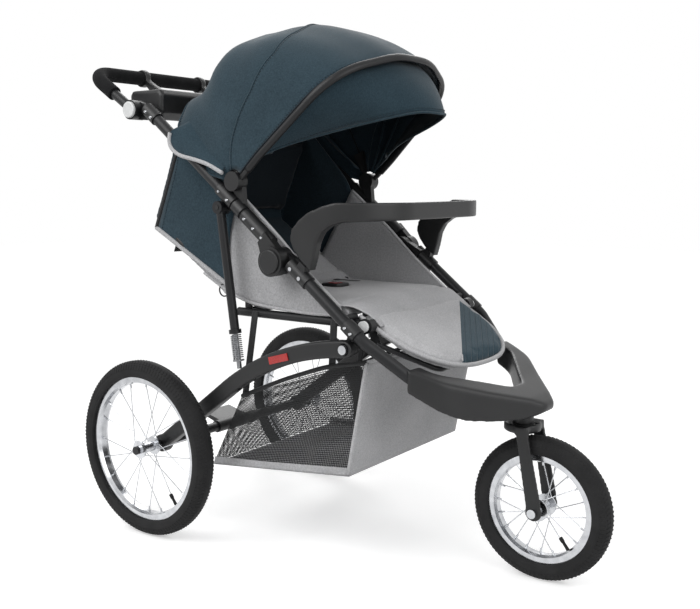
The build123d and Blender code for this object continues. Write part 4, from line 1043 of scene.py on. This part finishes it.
BACK_A, BACK_B = np.array((203.0, 545.0)), np.array((-30.0, 690.0))
BACK_RUN = (BACK_B - BACK_A) / np.linalg.norm(BACK_B - BACK_A)
BACK_OUT = np.array((BACK_RUN[1], -BACK_RUN[0]))


def on_back(u, v):
    """Side view point u up the backrest and v in front of it."""
    return tuple(BACK_A + BACK_RUN * u + BACK_OUT * v)


for side, y in (("left", 66.0), ("right", -66.0)):
    strap = band_piece(side + "_shoulder_strap", [on_back(52, 4.5), on_back(150, 4.5), on_back(252, 3.5)],
        y - 18, y + 18, 2.4, "webbing")
    place(strap, "backrest", "fabric_dark", ["shoulder_straps"])
    sleeve = band_piece(side + "_strap_cover", [on_back(108, 8.2), on_back(170, 8.4), on_back(232, 8.0)],
        y - 24, y + 24, 8.0, "fabric_dark", 1.0)
    soften(sleeve)
    place(sleeve, "backrest", "fabric_dark")
    lap = band_piece(side + "_lap_strap", [(226.0, 549.5), (260.0, 549.0), (292.0, 549.0)], y * 1.6 - 9,
        y * 1.6 + 9, 2.2, "webbing")
    place(lap, "lower_frame", "fabric_dark")
print("straps", 4)

# %% [markdown]
# The bumper, the tray, the rear arms, the fork and the console are thick mouldings, and no edge on them is
# sharp. The rigid model has their true outline with crisp edges. A copy is remeshed evenly and eased a
# few times, which wears every edge round by the same few millimetres and leaves the faces where they are.

# %% Soft edges of the mouldings
EDGE_VOXEL = 0.0025
MOULDINGS = [
    ("front_bumper", "bumper_moulding", 50), ("child_tray", "tray_moulding", 5),
    ("suspension_arms", "arm_mouldings", 12), ("front_fork", "fork_moulding", 7),
    ("parent_tray", "console_moulding", 5),
]
body_of_node = {node: body for body, held in record["behaviour"]["bodies"].items() for node in held}


def merged_copy(node, name):
    """Copy of a rigid part's mesh with its loose triangles joined."""
    mesh = nodes[node].data.copy()
    mesh.name = name
    shape = bmesh.new()
    shape.from_mesh(mesh)
    bmesh.ops.remove_doubles(shape, verts=shape.verts, dist=1e-5)
    shape.to_mesh(mesh)
    shape.free()
    piece = bpy.data.objects.new(name, mesh)
    scene.collection.objects.link(piece)
    return piece


for node, name, passes in MOULDINGS:
    moulding = merged_copy(node, name)
    even = moulding.modifiers.new("even", "REMESH")
    even.mode = "VOXEL"
    even.voxel_size = EDGE_VOXEL
    ease = moulding.modifiers.new("ease", "SMOOTH")
    ease.iterations = passes
    apply_modifiers(moulding)
    moulding.data.polygons.foreach_set("use_smooth", [True] * len(moulding.data.polygons))
    place(moulding, body_of_node[node], slot_of[node], [node])
    print(name, "faces", len(moulding.data.polygons))

# %% [markdown]
# The basket hangs under the seat: a light cloth floor and front, and sides and back of black net. The
# floor sags between the frame, so its sheet dips in the middle, and the side nets belly out. A woven tape
# binds the top edge of the net, and flat tabs hang it from the seat rails.

# %% Basket
BASKET_HALF = 210.0
NET_LOW = [(128.0, 166.0), (250.0, 178.0), (372.0, 192.0), (492.0, 206.0)]
NET_HIGH = [(214.0, 326.0), (330.0, 376.0), (440.0, 416.0), (536.0, 434.0)]
TAPE = 0.0045


def basket_sheet(name, low, high, sag, finish_name, steps=18, count=41):
    """Cloth across the stroller between two side view points, sagging in the middle."""
    rows = []
    for i in range(steps + 1):
        t = i / steps
        x = low[0] + (high[0] - low[0]) * t
        z = low[1] + (high[1] - low[1]) * t
        row = []
        for j in range(count):
            y = BASKET_HALF * (1.0 - 2.0 * j / (count - 1))
            dip = sag * math.sin(math.pi * t) * math.cos(0.5 * math.pi * y / BASKET_HALF)
            row.append(at(x + dip * 0.15, y, z - dip))
        rows.append(row)
    return grid_piece(name, rows, finish_name), rows


for side, y in (("left", 1.0), ("right", -1.0)):
    web, web_rows = side_panel(side + "_basket_net", NET_LOW, NET_HIGH, y * BASKET_HALF, 5.0, "mesh_black")
    place(web, "lower_frame", "mesh_black", ["basket_mesh"])
    place(tube_piece(side + "_net_binding", web_rows[-1], TAPE, "webbing", 8), "lower_frame", "fabric_dark")
    front_seam = [row[-1] for row in web_rows]
    place(tube_piece(side + "_net_piping", front_seam, 0.0036, "piping_grey", 8), "lower_frame",
        "fabric_grey")
    lip_high = [(x + 4.0, z + 13.0) for x, z in NET_LOW]
    lip, _ = side_panel(side + "_basket_lip", [(x, z - 3.0) for x, z in NET_LOW], lip_high,
        y * (BASKET_HALF + 1.2), 0.6, "fabric_grey", 4)
    thicken(lip, 0.0012)
    place(lip, "lower_frame", "fabric_grey")
    for k, (x0, z0, x1) in enumerate(((222.0, 328.0, 250.0), (453.0, 418.0, 455.0))):
        tab_rows = []
        for t in np.linspace(0, 1, 8):
            x = x0 + (x1 - x0) * t
            z = z0 + (510.0 - z0) * t
            tab_rows.append([at(x - 8 + w, y * (BASKET_HALF - 4.0 * t), z) for w in np.linspace(0, 16, 5)])
        tab = grid_piece(f"{side}_basket_tab_{k}", tab_rows, "webbing", at(x0, 0, z0))
        thicken(tab, 0.002)
        place(tab, "lower_frame", "fabric_dark")

rear_net, _ = basket_sheet("rear_basket_net", (127.0, 165.0), (213.0, 327.0), 2.0, "mesh_black")
place(rear_net, "lower_frame", "mesh_black")
floor_cloth, _ = basket_sheet("basket_floor", (125.0, 162.0), (494.0, 203.0), 1.5, "fabric_grey")
thicken(floor_cloth, 0.002)
place(floor_cloth, "lower_frame", "fabric_grey", ["basket_base"])
front_cloth, front_rows_basket = basket_sheet("basket_front", (494.0, 203.0), (540.0, 436.0), 0.0,
    "fabric_grey")
thicken(front_cloth, 0.002)
place(front_cloth, "lower_frame", "fabric_grey")
place(tube_piece("basket_front_piping", front_rows_basket[-1], 0.004, "piping_grey", 8), "lower_frame",
    "fabric_grey")
print("basket", 2 * BASKET_HALF, "mm wide")

# %% [markdown]
# Screws, spoke nipples, tread blocks and stitches are one small shape many times over, so Geometry Nodes
# places them. Each set starts as loose points that carry two directions of their own: one to stand along
# and one to run along. The tree puts an instance on every point, turns it by those two
# directions, makes it real and gives it its finish.

# %% Trees for small repeated shapes
def geometry_tree(name, sizes):
    """Empty tree with named size inputs, and its input and output nodes."""
    tree = bpy.data.node_groups.new(name, "GeometryNodeTree")
    tree.interface.new_socket("Geometry", in_out="INPUT", socket_type="NodeSocketGeometry")
    for label, kind in sizes.items():
        tree.interface.new_socket(label, in_out="INPUT", socket_type="NodeSocket" + kind)
    tree.interface.new_socket("Finish", in_out="INPUT", socket_type="NodeSocketMaterial")
    tree.interface.new_socket("Geometry", in_out="OUTPUT", socket_type="NodeSocketGeometry")
    return tree, tree.nodes.new("NodeGroupInput"), tree.nodes.new("NodeGroupOutput")


def close_tree(tree, given, result, geometry):
    """Finish and output of a tree."""
    real = tree.nodes.new("GeometryNodeRealizeInstances")
    dress = tree.nodes.new("GeometryNodeSetMaterial")
    tree.links.new(geometry, real.inputs["Geometry"])
    tree.links.new(real.outputs["Geometry"], dress.inputs["Geometry"])
    tree.links.new(given.outputs["Finish"], dress.inputs["Material"])
    tree.links.new(dress.outputs["Geometry"], result.inputs["Geometry"])


def on_points_tree(name, sizes, make_shape):
    """Tree that stands one shape on every point."""
    tree, given, result = geometry_tree(name, sizes)
    stand = tree.nodes.new("GeometryNodeInstanceOnPoints")
    turn = tree.nodes.new("FunctionNodeAxesToRotation")
    turn.primary_axis, turn.secondary_axis = "Z", "X"
    for label, socket in (("up", "Primary Axis"), ("run", "Secondary Axis")):
        read = tree.nodes.new("GeometryNodeInputNamedAttribute")
        read.data_type = "FLOAT_VECTOR"
        read.inputs["Name"].default_value = label
        tree.links.new(read.outputs["Attribute"], turn.inputs[socket])
    tree.links.new(given.outputs["Geometry"], stand.inputs["Points"])
    tree.links.new(make_shape(tree, given), stand.inputs["Instance"])
    tree.links.new(turn.outputs["Rotation"], stand.inputs["Rotation"])
    close_tree(tree, given, result, stand.outputs["Instances"])
    return tree


def stud_shape(tree, given):
    stud = tree.nodes.new("GeometryNodeMeshCone")
    stud.inputs["Vertices"].default_value = 12
    tree.links.new(given.outputs["Foot radius"], stud.inputs["Radius Bottom"])
    tree.links.new(given.outputs["Head radius"], stud.inputs["Radius Top"])
    tree.links.new(given.outputs["Height"], stud.inputs["Depth"])
    return stud.outputs["Mesh"]


def block_shape(tree, given):
    block = tree.nodes.new("GeometryNodeMeshCube")
    tree.links.new(given.outputs["Size"], block.inputs["Size"])
    return block.outputs["Mesh"]


STUDS = on_points_tree("studs", {"Foot radius": "Float", "Head radius": "Float", "Height": "Float"},
    stud_shape)
BLOCKS = on_points_tree("blocks", {"Size": "Vector"}, block_shape)


def grown(name, tree, points, finish_name, ups=(), runs=(), **sizes):
    """Plain mesh grown by a tree from points and their directions."""
    mesh = bpy.data.meshes.new(name)
    mesh.from_pydata([tuple(p) for p in points], [], [])
    for label, vectors in (("up", ups), ("run", runs)):
        if len(vectors):
            layer = mesh.attributes.new(label, "FLOAT_VECTOR", "POINT")
            layer.data.foreach_set("vector", np.array([tuple(v) for v in vectors]).ravel())
    piece = bpy.data.objects.new(name, mesh)
    scene.collection.objects.link(piece)
    maker = piece.modifiers.new("maker", "NODES")
    maker.node_group = tree
    values = {key.replace("_", " ").lower(): value for key, value in sizes.items()}
    values["finish"] = finishes[finish_name]
    for item in tree.interface.items_tree:
        if item.in_out == "INPUT" and item.name.lower() in values:
            maker[item.identifier] = values[item.name.lower()]
    apply_modifiers(piece)
    for layer in [a for a in piece.data.attributes if a.name in ("up", "run")]:
        piece.data.attributes.remove(layer)
    return piece


# %% [markdown]
# The tyres have a low road tread: two rows of slanted blocks over the shoulders and a row of short bars on
# the crown. The points are worked out on the round section of the tyre and follow it round.

# %% Tyre tread, valves and nipples
WHEELS = [
    ("front", (809.0, 0.0, 144.0), 144.0, "front_wheel"),
    ("left_rear", (0.0, 290.0, 195.0), 195.0, "left_wheel"),
    ("right_rear", (0.0, -290.0, 195.0), 195.0, "right_wheel"),
]
TYRE_SECTION = 23.0
TREAD_ROWS = [(28.0, 0.0, 0.5), (62.0, 0.45, 0.0), (118.0, -0.45, 0.0), (152.0, 0.0, 0.5)]
TREAD_PITCH = 9.0
SPOKES = 20


def round_wheel(centre, radius, angle, y):
    """Point on a circle about a wheel's axle."""
    x = centre[0] + radius * math.cos(angle)
    return at(x, centre[1] + y, centre[2] + radius * math.sin(angle))


for name, centre, tyre, body in WHEELS:
    spots, ups, runs = [], [], []
    count = int(2 * math.pi * tyre / TREAD_PITCH)
    for section, slant, shift in TREAD_ROWS:
        s = math.radians(section)
        reach = tyre - TYRE_SECTION + TYRE_SECTION * math.sin(s)
        for k in range(count):
            a = 2 * math.pi * (k + shift) / count
            radial = Vector((math.cos(a), 0, math.sin(a)))
            up = radial * math.sin(s) + Vector((0, math.cos(s), 0))
            round_way = Vector((-math.sin(a), 0, math.cos(a)))
            over = up.cross(round_way)
            spots.append(round_wheel(centre, reach, a, TYRE_SECTION * math.cos(s)))
            ups.append(up)
            runs.append(over * math.cos(slant) + round_way * math.sin(slant))
    tread = grown(name + "_tread", BLOCKS, spots, "tyre_black", ups, runs, Size=(0.0105, 0.0030, 0.0011))
    place(tread, body, "tyre_black")

    bead = tyre - 47.0
    spots, ups, runs = [], [], []
    for k in range(SPOKES):
        a = 2 * math.pi * k / SPOKES
        spots.append(round_wheel(centre, bead - 12.5, a, (2.6 if k % 2 else -2.6)))
        ups.append(Vector((math.cos(a), 0, math.sin(a))))
        runs.append(Vector((0, 1, 0)))
    nipples = grown(name + "_nipples", STUDS, spots, "chrome", ups, runs, Foot_radius=0.0017,
        Head_radius=0.0025, Height=0.011)
    place(nipples, body, "chrome")

    valve_angle = math.radians(-52.0)
    stem = [round_wheel(centre, bead - r, valve_angle, 0.0) for r in (2.0, 4.0, 20.0, 21.0, 30.0, 31.0)]
    stem_radius = [0.0046, 0.0034, 0.0030, 0.0040, 0.0040, 0.0028]
    place(tube_piece(name + "_valve", stem, stem_radius, "tyre_black", 12), body, "tyre_black")
print("tread blocks", 4 * count, "on the last tyre")

# %% [markdown]
# The strut springs are wound wire. Geometry Nodes has a spiral: its turns, radius and height are inputs, and
# a round profile swept along it gives the wire. The two springs shorten towards their upper ends as the
# rods slide in; the piece here simply moves with the struts.

# %% Strut springs
coil_tree, given, result = geometry_tree("coil", {"Turns": "Float", "Radius": "Float", "Height": "Float",
    "Wire": "Float"})
spiral = coil_tree.nodes.new("GeometryNodeCurveSpiral")
spiral.inputs["Resolution"].default_value = 24
section = coil_tree.nodes.new("GeometryNodeCurvePrimitiveCircle")
section.inputs["Resolution"].default_value = 8
drawn_wire = coil_tree.nodes.new("GeometryNodeCurveToMesh")
drawn_wire.inputs["Fill Caps"].default_value = True
for label, node, sockets in (
        ("Turns", spiral, ["Rotations"]), ("Radius", spiral, ["Start Radius", "End Radius"]),
        ("Height", spiral, ["Height"]), ("Wire", section, ["Radius"])):
    for socket in sockets:
        coil_tree.links.new(given.outputs[label], node.inputs[socket])
coil_tree.links.new(spiral.outputs["Curve"], drawn_wire.inputs["Curve"])
coil_tree.links.new(section.outputs["Curve"], drawn_wire.inputs["Profile Curve"])
close_tree(coil_tree, given, result, drawn_wire.outputs["Mesh"])

STRUT_TOP = np.array(on_tube(-165.0, -30.0))
STRUT_FOOT = np.array((235.0, 390.0))
STRUT_RUN = (STRUT_FOOT - STRUT_TOP) / np.linalg.norm(STRUT_FOOT - STRUT_TOP)
COIL_FROM, COIL_TO, COIL_TURNS = 263.5, 316.5, 12.0
low = STRUT_TOP + STRUT_RUN * COIL_TO
height = (COIL_TO - COIL_FROM - 2.6) * MM
coil = grown("springs", coil_tree, [(0, 0, 0)], "spring_steel", Turns=COIL_TURNS, Radius=0.0104,
    Height=height, Wire=0.0013)
up_strut = Vector((-STRUT_RUN[0], 0, -STRUT_RUN[1]))
lean = up_strut.to_track_quat("Z", "Y").to_matrix().to_4x4()
shape = bmesh.new()
for y in (239.0, -239.0):
    one = bmesh.new()
    one.from_mesh(coil.data)
    one.transform(Matrix.Translation(at(low[0], y, low[1]) + up_strut * 0.0013) @ lean)
    spare = bpy.data.meshes.new("one_coil")
    one.to_mesh(spare)
    one.free()
    shape.from_mesh(spare)
    bpy.data.meshes.remove(spare)
bmesh.ops.recalc_face_normals(shape, faces=shape.faces)
shape.to_mesh(coil.data)
shape.free()
coil.data.polygons.foreach_set("use_smooth", [True] * len(coil.data.polygons))
place(coil, "struts", "spring_steel", ["strut_springs"])
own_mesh(coil)
print("spring height", round(height, 4))

# %% [markdown]
# Small screws and rivets hold the sleeves and brackets to the tubes. They are flat-headed studs that
# stand on the outer side of each clamp, half sunk into it.

# %% Screws on the frame
CLAMP_OUT = 250.2
SCREW_SETS = [
    ("upper_frame", [(-152.0, 0.0), (-180.0, 0.0), (-34.0, 0.0), (-62.0, 0.0), (-92.0, 0.0), (-432.0, 0.0),
        (-452.0, 0.0)]),
    ("lower_frame", [(228.0, 0.0), (244.0, 0.0)]),
]
for body, spots_on_tube in SCREW_SETS:
    spots, ups = [], []
    for s, off in spots_on_tube:
        x, z = on_tube(s, off)
        for side in (1, -1):
            spots.append(at(x, side * CLAMP_OUT, z))
            ups.append(Vector((0, side, 0)))
    runs = [Vector((1, 0, 0))] * len(spots)
    heads = grown(body + "_screws", STUDS, spots, "chrome", ups, runs, Foot_radius=0.0034,
        Head_radius=0.0026, Height=0.0022)
    place(heads, body, "chrome")

# %% [markdown]
# Every seam of the covers is sewn in a lockstitch. Each stitch is a tiny block that lies along the seam and
# a hair above the cloth.

# %% Stitches
STITCH = (0.0042, 0.0008, 0.0007)
STITCH_STEP = 6.5


def stitch_line(name, points, outwards, body, finish_name, slot):
    """Stitches along a line of points; outwards gives the way off the cloth at a point."""
    line = np.array([tuple(p) for p in points])
    length = np.linalg.norm(np.diff(line, axis=0), axis=1).sum()
    spots = even_line(line, max(4, int(length / (STITCH_STEP * MM))))
    runs = [Vector(b - a).normalized() for a, b in zip(spots[:-1], spots[1:])]
    middles = [Vector((a + b) / 2) for a, b in zip(spots[:-1], spots[1:])]
    ups = [outwards(p) for p in middles]
    piece = grown(name, BLOCKS, [p + u * 0.0004 for p, u in zip(middles, ups)], finish_name, ups, runs,
        Size=STITCH)
    return place(piece, body, slot)


def from_hinge(p):
    return (p - Vector((inside.x, p.y * 0.55, inside.z - 0.06))).normalized()


def sideways(p):
    return Vector((0, 1 if p.y > 0 else -1, 0))


stitch_line("seam_stitches", front_rows[-2], from_hinge, "canopy_front", "fabric_dark", "fabric_blue")
stitch_line("front_edge_stitches", front_rows[1], from_hinge, "canopy_front", "fabric_dark", "fabric_blue")
stitch_line("visor_stitches", visor_rows[-2], from_hinge, "visor", "fabric_dark", "fabric_blue")
stitch_line("hem_stitches", rear_rows[-2], from_hinge, "upper_frame", "fabric_dark", "fabric_blue")
for side, rows_of in panel_rows.items():
    for label, body, finish_name, rows in rows_of:
        stitch_line(f"{side}_{label}_stitches", rows, sideways, body, finish_name, "fabric_grey")
print("stitched seams", 4 + sum(len(v) for v in panel_rows.values()))

# %% [markdown]
# A few fittings remain: the clip and the ring of the recline strap at the back, and the strap itself,
# which runs behind the backrest from side to side.

# %% Recline strap
for side, y in (("left", 1.0), ("right", -1.0)):
    clip = band_piece(side + "_recline_clip", [(20.0, 655.0), (34.0, 646.0), (46.0, 634.0)], y * 204.0 - 5,
        y * 204.0 + 5, 9.0, "plastic_black", 1.0)
    place(soften(clip), "backrest", "plastic_black")
    ring = [at(160.0 + 13.0 * math.cos(a), y * 203.5, 548.0 + 13.0 * math.sin(a))
        for a in np.linspace(0, 2 * math.pi, 28, endpoint=False)]
    place(tube_piece(side + "_recline_ring", ring, 0.0016, "frame_black", 8, loop=True), "backrest",
        "frame_black")
behind = [at(12.0, y, 632.0 - 2.0 * math.cos(y / 80.0)) for y in np.linspace(-202, 202, 41)]
strap_rows = [[p + Vector((0.004 * w, 0, 0.009 * w)) for p in behind] for w in np.linspace(-1, 1, 4)]
recline_strap = grid_piece("recline_strap", strap_rows, "webbing", at(200, 0, 800))
thicken(recline_strap, 0.002)
place(recline_strap, "backrest", "fabric_dark")
print("fittings done")
